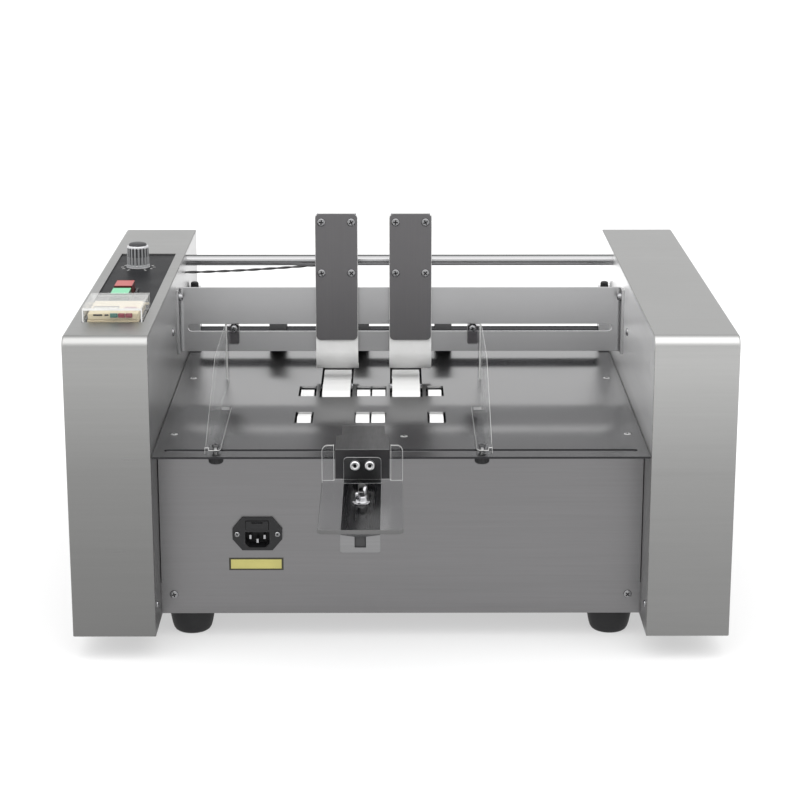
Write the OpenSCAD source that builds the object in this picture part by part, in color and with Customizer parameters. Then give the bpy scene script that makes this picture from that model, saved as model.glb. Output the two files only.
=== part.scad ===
// Friction sheet feeder: a table with feed belts between two covered side housings.
// +X is to the operator's right, +Y points the way the sheets travel, +Z is up.
// The origin is on the floor, under the middle of the whole machine.
// Depths named _d are measured back from the covers' front faces.

/* [Covers] */
// Overall width over both covers
overall_w = 640; // [610:1:680]
// Width of each cover
cover_w = 81; // [78:1:88]
// Depth of the covers, front to rear
cover_d = 540; // [520:1:590]
// Height of the covers
cover_h = 300; // [290:1:330]
// Height of the covers' lower edge above the floor
floor_gap = 25; // [18:1:35]
// Bend radius of the front top edge of a cover
cover_bend_r = 11; // [6:0.5:16]
// Bend radius of the rear top edge of a cover
rear_bend_r = 3; // [2.5:0.5:8]
// Sheet thickness of the covers
cover_t = 1.5; // [1:0.1:2]
// Thickness of the side plates
plate_t = 4; // [3:0.5:6]
// Depth at which the inner screw of a cover sits
cover_screw_d = 239; // [200:1:260]
// Height of that screw above the table
cover_screw_up = 65; // [55:1:75]

/* [Chassis] */
// Height of the table's top above the covers' lower edge
table_h = 182.5; // [176:0.5:192]
// Sheet thickness of the table
table_t = 2; // [1.5:0.1:3]
// How far the front panel stands behind the covers' front
panel_set_back = 56; // [45:1:70]
// Sheet thickness of the front panel and the tray
panel_t = 1.5; // [1:0.1:2.5]
// Height of the panel's lower edge above the covers' lower edge
panel_lift = 3; // [2:0.5:8]
// Depth of the folded edge along the top of the front panel
panel_fold = 25; // [20:1:35]
// Width of the ledges that carry the table
ledge_w = 28; // [24:1:36]
// Thickness of the ledges that carry the table
ledge_t = 3; // [2:0.5:4]
// Height of the tray's front lip
lip_h = 32; // [28:1:45]
// Depth of the front pair of table screws
table_screw_front_d = 79.6; // [74:0.2:90]
// Depth of the rear pair of table screws
table_screw_rear_d = 298; // [285:1:310]
// Distance of the table's side screws from the inner walls
table_screw_in = 15; // [8:0.5:18]
// Distance of the front panel's screws from the inner walls
panel_screw_in = 13; // [9:0.5:24]
// Height of the front panel's screws above the panel's lower edge
panel_screw_up = 20; // [14:1:24]

/* [Feet] */
// Diameter of a foot at the top
foot_top_dia = 47; // [40:1:54]
// Diameter of a foot at the floor
foot_floor_dia = 41; // [34:1:46]
// Distance of the feet's centres from the inner walls
foot_in = 28; // [27:1:45]
// Distance of the front feet behind the front panel
foot_front = 32; // [28:1:60]
// Distance of the rear feet in front of the covers' rear
foot_rear = 60; // [40:1:100]

/* [Feed belts] */
// Outer radius of a belt on its roller
belt_r = 20; // [16:0.5:24]
// Thickness of the belts
belt_t = 2; // [1.2:0.1:3]
// How far the belts stand above the table
belt_proud = 0.8; // [0.3:0.1:1.5]
// Width of a narrow belt
narrow_w = 13.7; // [10:0.1:15]
// Width of a wide belt
wide_w = 29.4; // [24:0.2:31]
// Middle of the feed, across the machine
feed_x = -30.7; // [-45:0.1:-20]
// Distance of the outer narrow belts from the middle of the feed
outer_belt_x = 67.2; // [64:0.1:80]
// Distance of the inner narrow belts from the middle of the feed
inner_belt_x = 8; // [7.8:0.1:8.4]
// Distance of the wide belts from the middle of the feed
wide_belt_x = 37; // [36:0.1:38]
// Gap between a belt and the side of its window
window_side = 2.4; // [1.5:0.1:2.6]
// Length of the short windows
window_l = 41; // [38:0.5:46]
// Depth of the front roller
front_d = 140; // [125:1:150]
// Distance from the front roller to the drive roller
narrow_span = 103; // [95:1:115]
// Distance from the drive roller to the rear roller
wide_span = 85; // [80:1:100]
// Length of the wide windows past the roller at each end
wide_window_past = 20; // [16:0.5:20]
// Diameter of the roller shafts
shaft_dia = 10; // [8:0.5:12]

/* [Exit rollers] */
// Distance from the rear roller to the exit rollers
exit_span = 112; // [104:0.5:118]
// Radius of the lower exit rollers
exit_r = 16; // [12:0.5:18]
// Radius of the upper pinch wheels
pinch_r = 17.8; // [16:0.1:20]
// Width of the exit rollers and pinch wheels
exit_w = 19; // [14:0.5:22]
// Distance between neighbouring exit rollers
exit_pitch = 94; // [86:0.5:100]
// Length of the exit windows
exit_window_l = 29; // [24:0.5:34]
// Radius of the belt pulley on the drive roller
drive_pulley_r = 20; // [16:0.5:24]
// Radius of the belt pulley on the exit shaft
exit_pulley_r = 14; // [10:0.5:17]
// Width of the exit belt
exit_belt_w = 8; // [6:0.5:10]
// Width of the blocks that carry the pinch shaft
pinch_block_w = 12; // [11:0.5:14]
// Height of those blocks above the table
pinch_block_h = 69; // [60:1:76]
// Diameter of the pressure knobs
pressure_knob_dia = 9; // [8:0.5:13]
// Height of the pressure knobs
pressure_knob_h = 7; // [5:0.5:12]

/* [Cross beam and tie bar] */
// Distance of the beam's front face behind the drive roller
beam_behind = 51; // [46:0.5:54]
// Height of the beam's lower edge above the table
beam_up = 31; // [26:1:36]
// Height of the beam
beam_h = 70; // [64:1:80]
// Sheet thickness of the beam
beam_t = 3; // [2:0.5:4]
// Length of the beam's folded ends
beam_fold = 15; // [13:0.5:20]
// Outer bend radius of the beam's ends
beam_bend_r = 7; // [5:0.5:9]
// Height of the middle of the beam's slot above the table
slot_up = 57; // [52:0.5:62]
// Height of the beam's slot
slot_h = 8; // [7:0.5:10]
// Distance of the slot's ends from the inner walls
slot_in = 11; // [9:0.5:16]
// Diameter of the tie bar
tie_dia = 12; // [10:0.5:14]
// Distance of the tie bar behind the rear roller
tie_behind = 81; // [74:0.5:86]
// Height of the tie bar above the table
tie_up = 107.5; // [100:0.5:109]

/* [Gates] */
// Width of a gate plate
gate_w = 44; // [40:0.5:48]
// Width of a separator
separator_w = 45; // [40:0.5:48]
// Middle of the left gate, across the machine
left_gate_x = -67.5; // [-74:0.5:-62]
// Middle of the right gate, across the machine
right_gate_x = 11; // [5:0.5:14]
// Distance of the gate plates' front ahead of the beam
gate_ahead = 14; // [13:0.5:18]
// Height of the gate plates' lower edge above the table
gate_low = 46.7; // [42:0.5:50]
// Height of the gates' top above the table
gate_top = 183.4; // [170:0.5:200]
// Thickness of a gate plate
gate_t = 2; // [1.5:0.1:2.5]
// Corner radius of a gate plate
gate_corner_r = 5; // [3:0.5:8]
// Thickness of a separator
separator_t = 3; // [2:0.1:4]
// Outer radius of the separator's nose
nose_r = 23; // [20:0.5:26]
// Gap under the separators at rest
nose_gap = 10.2; // [7.8:0.1:12]
// Length of the flat under the nose
nose_flat = 7; // [4:0.5:12]
// Distance of the gate screws from the middle of the gate
gate_screw_x = 15.8; // [13:0.1:17]
// Height of the upper gate screws above the table
gate_screw_high = 174.5; // [160:0.5:176]
// Height of the lower gate screws above the table
gate_screw_low = 119.7; // [112:0.5:130]
// How far a gate can be raised
gate_rise = 10; // [5:0.5:10]
// How far a gate can be lowered
gate_drop = 6.5; // [3:0.5:6.5]
// Thickness of a gate carrier
carrier_t = 14; // [12:0.5:18]
// Diameter of a gate's clamp knob
gate_knob_dia = 20; // [16:0.5:22]
// Length of a gate's clamp knob
gate_knob_l = 20; // [16:0.5:24]

/* [Side guides] */
// Outer face of the left guide at rest
left_guide_x = -188; // [-195:0.5:-180]
// Outer face of the right guide at rest
right_guide_x = 87.5; // [84:0.5:95]
// Thickness of the guides' acrylic
guide_t = 4; // [3:0.1:5]
// Height of the guides above the table
guide_h = 62; // [60:0.5:70]
// Height of the guides' front end above the table
guide_low = 7; // [6:0.5:12]
// Depth where the guides begin to slope down
guide_knee_d = 150; // [120:1:180]
// Depth of the guides' front end
guide_front_d = 8; // [5:1:12]
// Width of a guide's foot
guide_foot_w = 15; // [13:0.5:18]
// Depth where a guide's foot ends
guide_foot_d = 166; // [140:1:200]
// Width of a guide's rear tab
guide_tab_w = 15.5; // [13:0.5:18]
// Height of a guide's rear tab
guide_tab_h = 23; // [18:0.5:28]
// Depth of the table's front slot
table_slot_d = 22; // [20:0.5:26]
// Width of the table's front slot
table_slot_w = 8; // [7:0.5:9]
// Diameter of the guides' clamp knobs
guide_knob_dia = 14.4; // [12:0.2:16]
// Height of the guides' clamp knobs
guide_knob_h = 10; // [7:0.5:12]

/* [Back stop] */
// Middle of the back stop, across the machine
stop_x = -37; // [-42:0.5:-32]
// How far the shelf reaches in front of the covers
stop_reach = 157; // [140:1:180]
// Thickness of the ramp and the shelf bracket
stop_t = 2; // [1.5:0.1:2.5]
// Width of the ramp's base
ramp_w = 52; // [48:0.5:53]
// Width of the ramp's tongue
ramp_tongue_w = 42; // [38:0.5:44]
// Depth of the ramp's rear tip
ramp_d = 108; // [100:1:112]
// Depth where the ramp widens
ramp_shoulder_d = 58; // [50:1:64]
// Height of the ramp's front edge above the table
ramp_h = 8; // [7:0.5:10]
// How far the ramp's front flange hangs below the table's top
ramp_drop = 21; // [18:0.5:23]
// Width of the shelf
shelf_w = 36; // [32:0.5:42]
// How far the shelf lies below the table's top
shelf_drop = 27; // [25:0.5:32]
// Height of the lip at the shelf's end
shelf_lip = 15; // [10:0.5:20]
// Distance between the two bracket screws
stop_screw_pitch = 14; // [12:0.5:18]
// Width of the clear back stop
back_stop_w = 77; // [72:0.5:84]
// Width of the cut between the stop's ears
stop_cut_w = 54; // [54:0.5:58]
// Height of the stop's ears above the table
ear_h = 14; // [11:0.5:20]
// Thickness of the back stop's acrylic
back_stop_t = 4; // [3:0.1:5]
// How far the back stop can be drawn out
stop_travel = 55; // [30:1:58]
// Distance of the wing nut in front of the covers
wing_out = 78; // [72:1:84]

/* [Mains inlet] */
// Middle of the inlet, across the machine
inlet_x = -142; // [-160:1:-120]
// Height of the inlet's middle above the covers' lower edge
inlet_up = 87; // [70:1:100]
// Distance between the inlet's screws
inlet_pitch = 40; // [38:0.5:42]
// Width of the inlet's flange
inlet_w = 49; // [48:0.5:52]
// Height of the inlet's flange
inlet_h = 34; // [33:0.5:38]
// How far the fuse drawer pulls out
drawer_travel = 12; // [6:0.5:12]

/* [Controls] */
// Width of the control window in the left cover
window_w = 60; // [60:0.5:62]
// Distance of the control window from the cover's outer side
window_in = 11; // [10:0.5:12]
// Depth of the control window's front edge
window_front_d = 62; // [55:1:70]
// Length of the control window
window_len = 334; // [330:1:345]
// Thickness of the control panel
control_t = 2; // [1.5:0.1:3]
// Length of the counter's clear cover
counter_l = 70; // [66:0.5:74]
// Width of the counter's clear cover
counter_w = 58; // [56:0.5:58.5]
// Height of the clear cover above the control panel
counter_h = 15; // [14:0.5:20]
// Wall of the counter's clear cover
counter_wall = 1.8; // [1.2:0.1:2.2]
// Width of the push buttons
button_w = 21; // [18:0.5:24]
// Length of each push button
button_l = 27; // [24:0.5:30]
// Height of the green button above the control panel
green_h = 10; // [6:0.5:12]
// Height of the red button above the control panel
red_h = 11; // [7:0.5:13]
// Travel of the push buttons
button_travel = 2.5; // [1.5:0.1:3]
// Diameter of the speed knob
knob_dia = 24; // [20:0.5:28]
// Height of the speed knob
knob_h = 27; // [20:0.5:32]
// Depth of the speed knob
knob_d = 330; // [310:1:345]

/* [Clearances] */
// Gap between pieces that slide or turn past each other
run_gap = 0.3; // [0.2:0.05:0.5]
// Radial gap of a shaft in its bearing
shaft_fit = 0.05; // [0.02:0.01:0.08]
// Gap round a piece that is let into another
seat_gap = 0.1; // [0.05:0.05:0.2]
// Gap round a screw in its hole
screw_gap = 0.2; // [0.1:0.05:0.3]
// Gap between the inner walls and the edges of the table and front panel
sheet_gap = 0.8; // [0.3:0.1:1.5]

/* [Hidden] */
$fn = 64;
eps = 1;

// Colours
steel = [0.66, 0.66, 0.67];
dark_steel = [0.40, 0.40, 0.42];
bright = [0.82, 0.82, 0.84];
white_rubber = [0.93, 0.93, 0.92];
black = [0.08, 0.08, 0.09];
clear = [0.85, 0.88, 0.90, 0.35];

// Heights and faces that many pieces share
y_mid = (cover_d - stop_reach) / 2;
x_out = overall_w / 2;
x_in = x_out - cover_w;
x_plate = x_in + plate_t;
z_low = floor_gap;
z_top = z_low + cover_h;
z_table = z_low + table_h;
z_under = z_table - table_t;
z_panel = z_low + panel_lift;
panel_back_d = panel_set_back + panel_t;
rear_panel_d = cover_d - cover_t - panel_t;

// Places along the feed
drive_d = front_d + narrow_span;
rear_d = drive_d + wide_span;
exit_d = rear_d + exit_span;
tie_d = rear_d + tie_behind;
beam_d = drive_d + beam_behind;
gate_d = beam_d - gate_ahead;

// Shafts
shaft_z = z_table + belt_proud - belt_r;
roller_r = belt_r - belt_t - run_gap;
exit_z = z_table + belt_proud - exit_r;
nip_gap = 0.4;
pinch_z = z_table + belt_proud + nip_gap + pinch_r;
exit_shift = 13.8;
exit_xs = [for (i = [-1, 0, 1]) feed_x - exit_shift + i * exit_pitch];
narrow_xs = [
    feed_x - outer_belt_x, feed_x - inner_belt_x,
    feed_x + inner_belt_x, feed_x + outer_belt_x
];
wide_xs = [feed_x - wide_belt_x, feed_x + wide_belt_x];
roller_side = 0.4;
bush_wall = 3;
bush_flange = 2;
bush_r = shaft_dia / 2 + shaft_fit + bush_wall;
pulley_gap = 4;
pulley_rim = 1.5;
exit_belt_t = 1.5;
pulley_x = x_plate + bush_flange + pulley_gap;
motor_side = 70;
motor_l = 54;
motor_dia = 62;
motor_spigot = 30;

// Gates, in height above the table and depth
nose_d = gate_d + gate_t + nose_r;
nose_z = z_table + nose_gap + nose_r;
block_front_d = gate_d + gate_t + separator_t;
block_back_d = beam_d - run_gap;
toe_d = nose_d + nose_flat;
toe_h = beam_up - gate_rise - nose_gap - separator_t - 1;
beam_back_d = beam_d + beam_t;
carrier_d = beam_back_d + run_gap;
carrier_back_d = carrier_d + carrier_t;
carrier_w = 36;
carrier_h = 34;
boss_w = 8;
boss_h = slot_h - 2 * run_gap;
boss_head_w = 15;
boss_head_t = 3;
stud_dia = 6;
gate_screw_dia = 4;
screw_head_dia = 8.4;
screw_head_h = 1.8;

// Side guides
guide_slot_z = z_table + slot_up;
guide_bolt_dia = 5;
guide_head_dia = 9;
guide_head_h = 3.2;
foot_z = z_table + run_gap;
guide_back_d = beam_d - run_gap;

// Back stop
flange_back_d = -run_gap;
flange_front_d = flange_back_d - stop_t;
bracket_front_d = flange_front_d - stop_t;
shelf_z = z_table - shelf_drop;
shelf_top = shelf_z + stop_t;
stop_z = shelf_top + run_gap;
ear_back_d = bracket_front_d - run_gap;
ear_front_d = ear_back_d - back_stop_t;
stop_screw_z = z_table - 6.5;
wing_dia = 6;

// Controls
control_z = z_top - cover_t;
window_x0 = window_in - x_out;
window_mid_x = window_x0 + window_w / 2;
hinge_up = 4.5;
hinge_in = 2.6;
counter_front_d = window_front_d + 0.6;
counter_back_d = counter_front_d + counter_l;
hinge_d = counter_back_d - hinge_in;
hinge_z = control_z + hinge_up;
hinge_pin_dia = 2.6;
button_x = window_mid_x - 4.5;
button_gap = 5;
button_behind = 21;
green_front_d = counter_back_d + button_behind;
red_front_d = green_front_d + button_l + button_gap;
button_rim = 1;
button_depth = 6;

// Sensor lead, from inside the left housing, behind the pinch block, to the sensor on the tie bar
pinch_block_d = 26;
lead_dia = 3;
lead_gap = 0.3;
lead_y = tie_d - tie_dia / 2 - lead_dia / 2 - lead_gap - y_mid;
lead_points = [
    [-252, lead_y, 302.8], [-246, lead_y, 302.8], [-238, lead_y, 302.8], [-230, lead_y, 302.9],
    [-212, lead_y, 303.4], [-190, lead_y, 304.3], [-165, lead_y, 305.6], [-140, lead_y, 307.2],
    [-120, lead_y, 308.6], [-104, lead_y, 309.9], [-94, lead_y, 310.6], [-86, lead_y, 311]
];
sensor_x = -78;
sensor_w = 16;

// A slab whose outline is drawn in depth and height, from x0 to x1
module across(x0, x1) {
    translate([x0, -y_mid, 0])
        rotate([90, 0, 90])
            linear_extrude(x1 - x0)
                children();
}

// A slab whose outline is drawn in width and depth, from z0 to z1
module level(z0, z1) {
    translate([0, -y_mid, z0])
        linear_extrude(z1 - z0)
            children();
}

// A slab whose outline is drawn in width and height, from depth d0 to d1
module facing(d0, d1) {
    translate([0, d1 - y_mid, 0])
        rotate([90, 0, 0])
            linear_extrude(d1 - d0)
                children();
}

// Round bars along the three axes
module bar_x(x0, x1, d, z, dia) {
    translate([x0, d - y_mid, z])
        rotate([0, 90, 0])
            cylinder(d = dia, h = x1 - x0);
}

module bar_y(x, d0, d1, z, dia) {
    translate([x, d1 - y_mid, z])
        rotate([90, 0, 0])
            cylinder(d = dia, h = d1 - d0);
}

module bar_z(x, d, z0, z1, dia) {
    translate([x, d - y_mid, z0])
        cylinder(d = dia, h = z1 - z0);
}

// A rectangle from p to q with a radius at each corner, from lower left round to upper left
module rounded(p, q, r = [0, 0, 0, 0]) {
    corners = [p, [q[0], p[1]], q, [p[0], q[1]]];
    inward = [[1, 1], [-1, 1], [-1, -1], [1, -1]];
    difference() {
        translate(p) square(q - p);
        for (i = [0 : 3]) {
            if (r[i] > 0) {
                c = corners[i] + r[i] * inward[i];
                difference() {
                    translate([min(corners[i][0], c[0]), min(corners[i][1], c[1])]) square(r[i]);
                    translate(c) circle(r[i]);
                }
            }
        }
    }
}

// A slot with round ends, along the first axis
module slot(p, q) {
    r = (q[1] - p[1]) / 2;
    rounded(p, q, [r, r, r, r]);
}

// Places its children on both sides of the machine, the right one mirrored
module both_sides() {
    children();
    mirror([1, 0, 0]) children();
}

// A pan-head screw with a cross recess; its head's seat is at z = 0 and its shank points down
module pan_screw(dia, head_dia, head_h, length) {
    difference() {
        union() {
            cylinder(d = head_dia, h = head_h);
            translate([0, 0, -length]) cylinder(d = dia, h = length);
        }
        for (a = [0, 90]) {
            rotate(a) translate([-head_dia * 0.3, -0.5, head_h * 0.45]) cube([head_dia * 0.6, 1, head_h]);
        }
    }
}

// A socket-head screw, placed like a pan-head screw
module socket_screw(dia, head_dia, head_h, length) {
    difference() {
        union() {
            cylinder(d = head_dia, h = head_h);
            translate([0, 0, -length]) cylinder(d = dia, h = length);
        }
        translate([0, 0, head_h * 0.4]) cylinder(d = head_dia * 0.5, h = head_h, $fn = 6);
    }
}

// A knob with grooves along its rim, standing on z = 0
module fluted_knob(dia, h, grooves) {
    difference() {
        cylinder(d = dia, h = h);
        for (i = [0 : grooves - 1]) {
            rotate(i * 360 / grooves)
                translate([dia / 2 + dia * 0.02, 0, -eps])
                    cylinder(d = dia * 0.11, h = h + 2 * eps, $fn = 16);
        }
    }
}

// Covers and chassis

module cover_outline(inset, low) {
    front_r = cover_bend_r - inset;
    back_r = rear_bend_r - inset;
    rounded([inset, low], [cover_d - inset, z_top - inset], [0, 0, back_r, front_r]);
}

cover_tab_w = 30;
cover_tab_h = z_top - z_table - cover_screw_up + 12;
cover_screw_dia = 4;

module cover_screw_hole(dia) {
    bar_x(-x_plate - eps - cover_t, -x_in + eps, cover_screw_d, z_table + cover_screw_up, dia);
}

module cover_shell() {
    difference() {
        union() {
            difference() {
                across(-x_out, -x_in) cover_outline(0, z_low);
                across(-x_out + cover_t, -x_in + eps) cover_outline(cover_t, z_low - eps);
            }
            across(-x_plate - cover_t - seat_gap, -x_plate - seat_gap)
                translate([cover_screw_d - cover_tab_w / 2, z_top - cover_t / 2 - cover_tab_h])
                    square([cover_tab_w, cover_tab_h]);
        }
        cover_screw_hole(cover_screw_dia + 2 * screw_gap);
    }
}

module left_cover() {
    color(steel)
        difference() {
            cover_shell();
            level(control_z - eps, z_top + eps)
                translate([window_x0, window_front_d])
                    square([window_w, window_len]);
        }
}

module right_cover() {
    color(steel) mirror([1, 0, 0]) cover_shell();
}

ledge_clear = 2;
ledge_front_d = panel_back_d + ledge_clear;

module side_plate_blank() {
    difference() {
        union() {
            across(-x_plate, -x_in) cover_outline(cover_t + seat_gap, z_low);
            level(z_under - ledge_t, z_under)
                translate([-x_in - eps, ledge_front_d])
                    square([ledge_w + eps, rear_panel_d - ledge_front_d - seat_gap]);
        }
        cover_screw_hole(cover_screw_dia + 2 * screw_gap);
        for (s = shaft_places) {
            bar_x(-x_plate - eps, -x_in + eps, s[0], s[1], 2 * (bush_r + seat_gap));
        }
        tie_hole();
        beam_screw_at() translate([0, 0, -beam_screw_l - eps])
            cylinder(d = beam_screw_dia + 2 * screw_gap, h = beam_screw_l + 2 * eps);
        table_side_screws() translate([0, 0, -table_screw_l - eps])
            cylinder(d = table_screw_dia + 2 * screw_gap, h = table_screw_l + 2 * eps);
    }
}

shaft_places = [[front_d, shaft_z], [drive_d, shaft_z], [rear_d, shaft_z], [exit_d, exit_z]];
tie_spigot_dia = 8;

module tie_hole() {
    bar_x(-x_plate - eps, -x_in + eps, tie_d, z_table + tie_up, tie_spigot_dia + 2 * seat_gap);
}

module left_side_plate() {
    color(steel)
        difference() {
            side_plate_blank();
            bar_x(-x_plate - eps, -x_in + eps, lead_points[0][1] + y_mid, lead_points[0][2],
                lead_dia + 2 * run_gap);
        }
}

module right_side_plate() {
    color(steel) mirror([1, 0, 0]) side_plate_blank();
}

table_screw_dia = 4;
table_screw_l = 6;
table_head_dia = 8;
table_head_h = 1.2;
table_mid_x = 3;
table_mid_d = 72;

// Head seats of the table screws on the left side, pointing up
module table_side_screws() {
    for (d = [table_screw_front_d, table_screw_rear_d]) {
        translate([-x_in + table_screw_in, d - y_mid, z_table - table_head_h]) children();
    }
}

module table_screw_at() {
    both_sides() table_side_screws() children();
    translate([table_mid_x, table_mid_d - y_mid, z_table - table_head_h]) children();
}

module belt_windows() {
    for (d = [front_d, drive_d]) {
        for (x = [narrow_xs[0], narrow_xs[3]]) {
            translate([x - narrow_w / 2 - window_side, d - window_l / 2])
                square([narrow_w + 2 * window_side, window_l]);
        }
        translate([narrow_xs[1] - narrow_w / 2 - window_side / 2, d - window_l / 2])
            square([narrow_xs[2] - narrow_xs[1] + narrow_w + window_side, window_l]);
    }
    for (x = wide_xs) {
        translate([x - wide_w / 2 - window_side, drive_d - belt_r - wide_window_past / 5])
            square([wide_w + 2 * window_side, rear_d + wide_window_past - drive_d + belt_r + wide_window_past / 5]);
    }
    for (x = exit_xs) {
        translate([x - exit_w / 2 - window_side, exit_d - exit_window_l / 2])
            square([exit_w + 2 * window_side, exit_window_l]);
    }
}

module table_plate() {
    color(steel)
        difference() {
            level(z_under, z_table)
                difference() {
                    translate([-x_in + sheet_gap, 0]) square([2 * (x_in - sheet_gap), cover_d]);
                    belt_windows();
                    slot([-x_in + slot_in, table_slot_d - table_slot_w / 2],
                        [x_in - slot_in, table_slot_d + table_slot_w / 2]);
                }
            table_screw_at() {
                translate([0, 0, -table_t]) cylinder(d = table_screw_dia + 2 * screw_gap, h = table_t + eps);
                cylinder(d = table_head_dia + 2 * screw_gap, h = table_t);
            }
        }
}

panel_screw_dia = 4;
panel_screw_l = 8;

module panel_screw_at() {
    both_sides()
        translate([-x_in + panel_screw_in, panel_set_back - y_mid, z_panel + panel_screw_up])
            rotate([90, 0, 0])
                children();
}

module front_panel() {
    color(steel)
        difference() {
            union() {
                facing(panel_set_back, panel_back_d)
                    translate([-x_in + sheet_gap, z_panel])
                        square([2 * (x_in - sheet_gap), z_under - z_panel]);
                level(z_under - panel_t, z_under)
                    translate([-x_in + ledge_w + eps, panel_back_d - eps])
                        square([2 * (x_in - ledge_w - eps), panel_fold + eps]);
            }
            inlet_at() translate([0, 0, -panel_t - eps]) linear_extrude(panel_t + 2 * eps) inlet_body(seat_gap);
            inlet_screw_at() translate([0, 0, -panel_t - eps])
                cylinder(d = inlet_screw_dia + 2 * screw_gap, h = panel_t + 2 * eps);
            panel_screw_at() translate([0, 0, -panel_t - eps])
                cylinder(d = panel_screw_dia + 2 * screw_gap, h = panel_t + 2 * eps);
            table_screw_at() translate([0, 0, -table_screw_l - eps])
                cylinder(d = table_screw_dia + 2 * screw_gap, h = table_screw_l + 2 * eps);
        }
}

module chassis_tray() {
    color(steel)
        difference() {
            across(-x_in, x_in)
                union() {
                    translate([panel_back_d, z_panel]) square([rear_panel_d + panel_t - panel_back_d, panel_t]);
                    translate([panel_back_d, z_panel]) square([panel_t, lip_h]);
                    translate([rear_panel_d, z_panel]) square([panel_t, z_under - z_panel]);
                }
            panel_screw_at() translate([0, 0, -panel_screw_l - eps])
                cylinder(d = panel_screw_dia + 2 * screw_gap, h = panel_screw_l + 2 * eps);
            foot_at() cylinder(d = foot_screw_dia + 2 * screw_gap, h = z_panel + panel_t + eps);
        }
}

foot_screw_dia = 6;
foot_bore_dia = 15;
foot_bore_h = 12;
foot_screw_head_h = 5;

module foot_at() {
    both_sides() {
        for (d = [panel_set_back + foot_front, cover_d - foot_rear]) {
            translate([-x_in + foot_in, d - y_mid, 0]) children();
        }
    }
}

module rubber_feet() {
    color(black)
        foot_at()
            difference() {
                cylinder(d1 = foot_floor_dia, d2 = foot_top_dia, h = z_panel);
                translate([0, 0, -eps]) cylinder(d = foot_bore_dia, h = foot_bore_h + eps);
                cylinder(d = foot_screw_dia + 2 * screw_gap, h = z_panel + eps);
            }
}

beam_screw_dia = 4;
beam_screw_l = 6;
beam_screw_up = 93;
beam_screw_out = 4.5;
beam_head_h = 4.5;

// Seat of the left beam screw, on the inside of the beam's folded end, pointing inwards
module beam_screw_at() {
    translate([-x_in + beam_t, beam_d - beam_fold + beam_screw_out - y_mid, z_table + beam_screw_up])
        rotate([0, 90, 0])
            children();
}

module stop_screw_at() {
    for (s = [-1, 1]) {
        translate([stop_x + s * stop_screw_pitch / 2, bracket_front_d - y_mid, stop_screw_z])
            rotate([90, 0, 0])
                children();
    }
}

stop_screw_dia = 5;
stop_head_dia = 9.6;
stop_head_h = 5;

module frame_screws() {
    color(bright) {
        table_screw_at() pan_screw(table_screw_dia, table_head_dia, table_head_h, table_screw_l);
        panel_screw_at() pan_screw(panel_screw_dia, screw_head_dia, screw_head_h, panel_screw_l);
        both_sides() {
            translate([-x_in, cover_screw_d - y_mid, z_table + cover_screw_up])
                rotate([0, 90, 0])
                    pan_screw(cover_screw_dia, screw_head_dia, screw_head_h, plate_t + cover_t + 1);
            beam_screw_at() pan_screw(beam_screw_dia, screw_head_dia, beam_head_h, beam_screw_l);
        }
        inlet_screw_at() translate([0, 0, inlet_flange_t])
            pan_screw(inlet_screw_dia, inlet_head_dia, screw_head_h, inlet_flange_t + panel_t + 3);
        stop_screw_at() socket_screw(stop_screw_dia, stop_head_dia, stop_head_h, 2 * stop_t);
        foot_at() translate([0, 0, foot_bore_h]) mirror([0, 0, 1])
            pan_screw(foot_screw_dia, foot_bore_dia - 3, foot_screw_head_h, z_panel + panel_t - foot_bore_h + 3);
    }
}

// Mains inlet

inlet_screw_dia = 3;
inlet_head_dia = 5.6;
inlet_flange_t = 2.5;
inlet_body_w = 28;
inlet_body_l = 24;
socket_w = 24;
socket_h = 16;
socket_l = 18;
socket_mid = -6;
socket_cut = 4;
drawer_w = 22;
drawer_h = 9;
drawer_l = 16;
drawer_mid = 9;
drawer_lip = 1;
inlet_z = z_low + inlet_up;

// The inlet's middle on the panel's face, with its own z pointing out of the panel
module inlet_at() {
    translate([inlet_x, panel_set_back - y_mid, inlet_z])
        rotate([90, 0, 0])
            children();
}

module inlet_screw_at() {
    inlet_at()
        for (s = [-1, 1]) {
            translate([s * inlet_pitch / 2, 0, 0]) children();
        }
}

module inlet_body(grow) {
    h = inlet_h - 2;
    translate([-inlet_body_w / 2 - grow, -h / 2 - grow])
        square([inlet_body_w + 2 * grow, h + 2 * grow]);
}

module inlet_outline() {
    a = inlet_w / 2;
    b = inlet_h / 2;
    shoulder = inlet_body_w / 2 + 1;
    ear = 5.5;
    polygon([
        [-a, -ear], [-shoulder, -b], [shoulder, -b], [a, -ear],
        [a, ear], [shoulder, b], [-shoulder, b], [-a, ear]
    ]);
}

module socket_outline() {
    a = socket_w / 2;
    b = socket_h / 2;
    polygon([
        [-a, b], [a, b], [a, socket_cut - b], [a - socket_cut, -b],
        [socket_cut - a, -b], [-a, socket_cut - b]
    ]);
}

module power_inlet() {
    color(black)
        inlet_at()
            difference() {
                union() {
                    linear_extrude(inlet_flange_t) inlet_outline();
                    translate([0, 0, -inlet_body_l]) linear_extrude(inlet_body_l + eps) inlet_body(0);
                }
                translate([0, socket_mid, inlet_flange_t - socket_l])
                    linear_extrude(socket_l + eps)
                        socket_outline();
                translate([-drawer_w / 2 - run_gap, drawer_mid - drawer_h / 2 - run_gap,
                        inlet_flange_t - drawer_l - run_gap])
                    cube([drawer_w + 2 * run_gap, drawer_h + 2 * run_gap, drawer_l + run_gap + eps]);
                for (s = [-1, 1]) {
                    translate([s * inlet_pitch / 2, 0, -eps])
                        cylinder(d = inlet_screw_dia + 2 * screw_gap, h = inlet_flange_t + 2 * eps);
                }
            }
}

pin_w = 2;
pin_h = 4;
pin_pitch = 7;
pin_shift = 2;
pin_l = 15;

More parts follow.
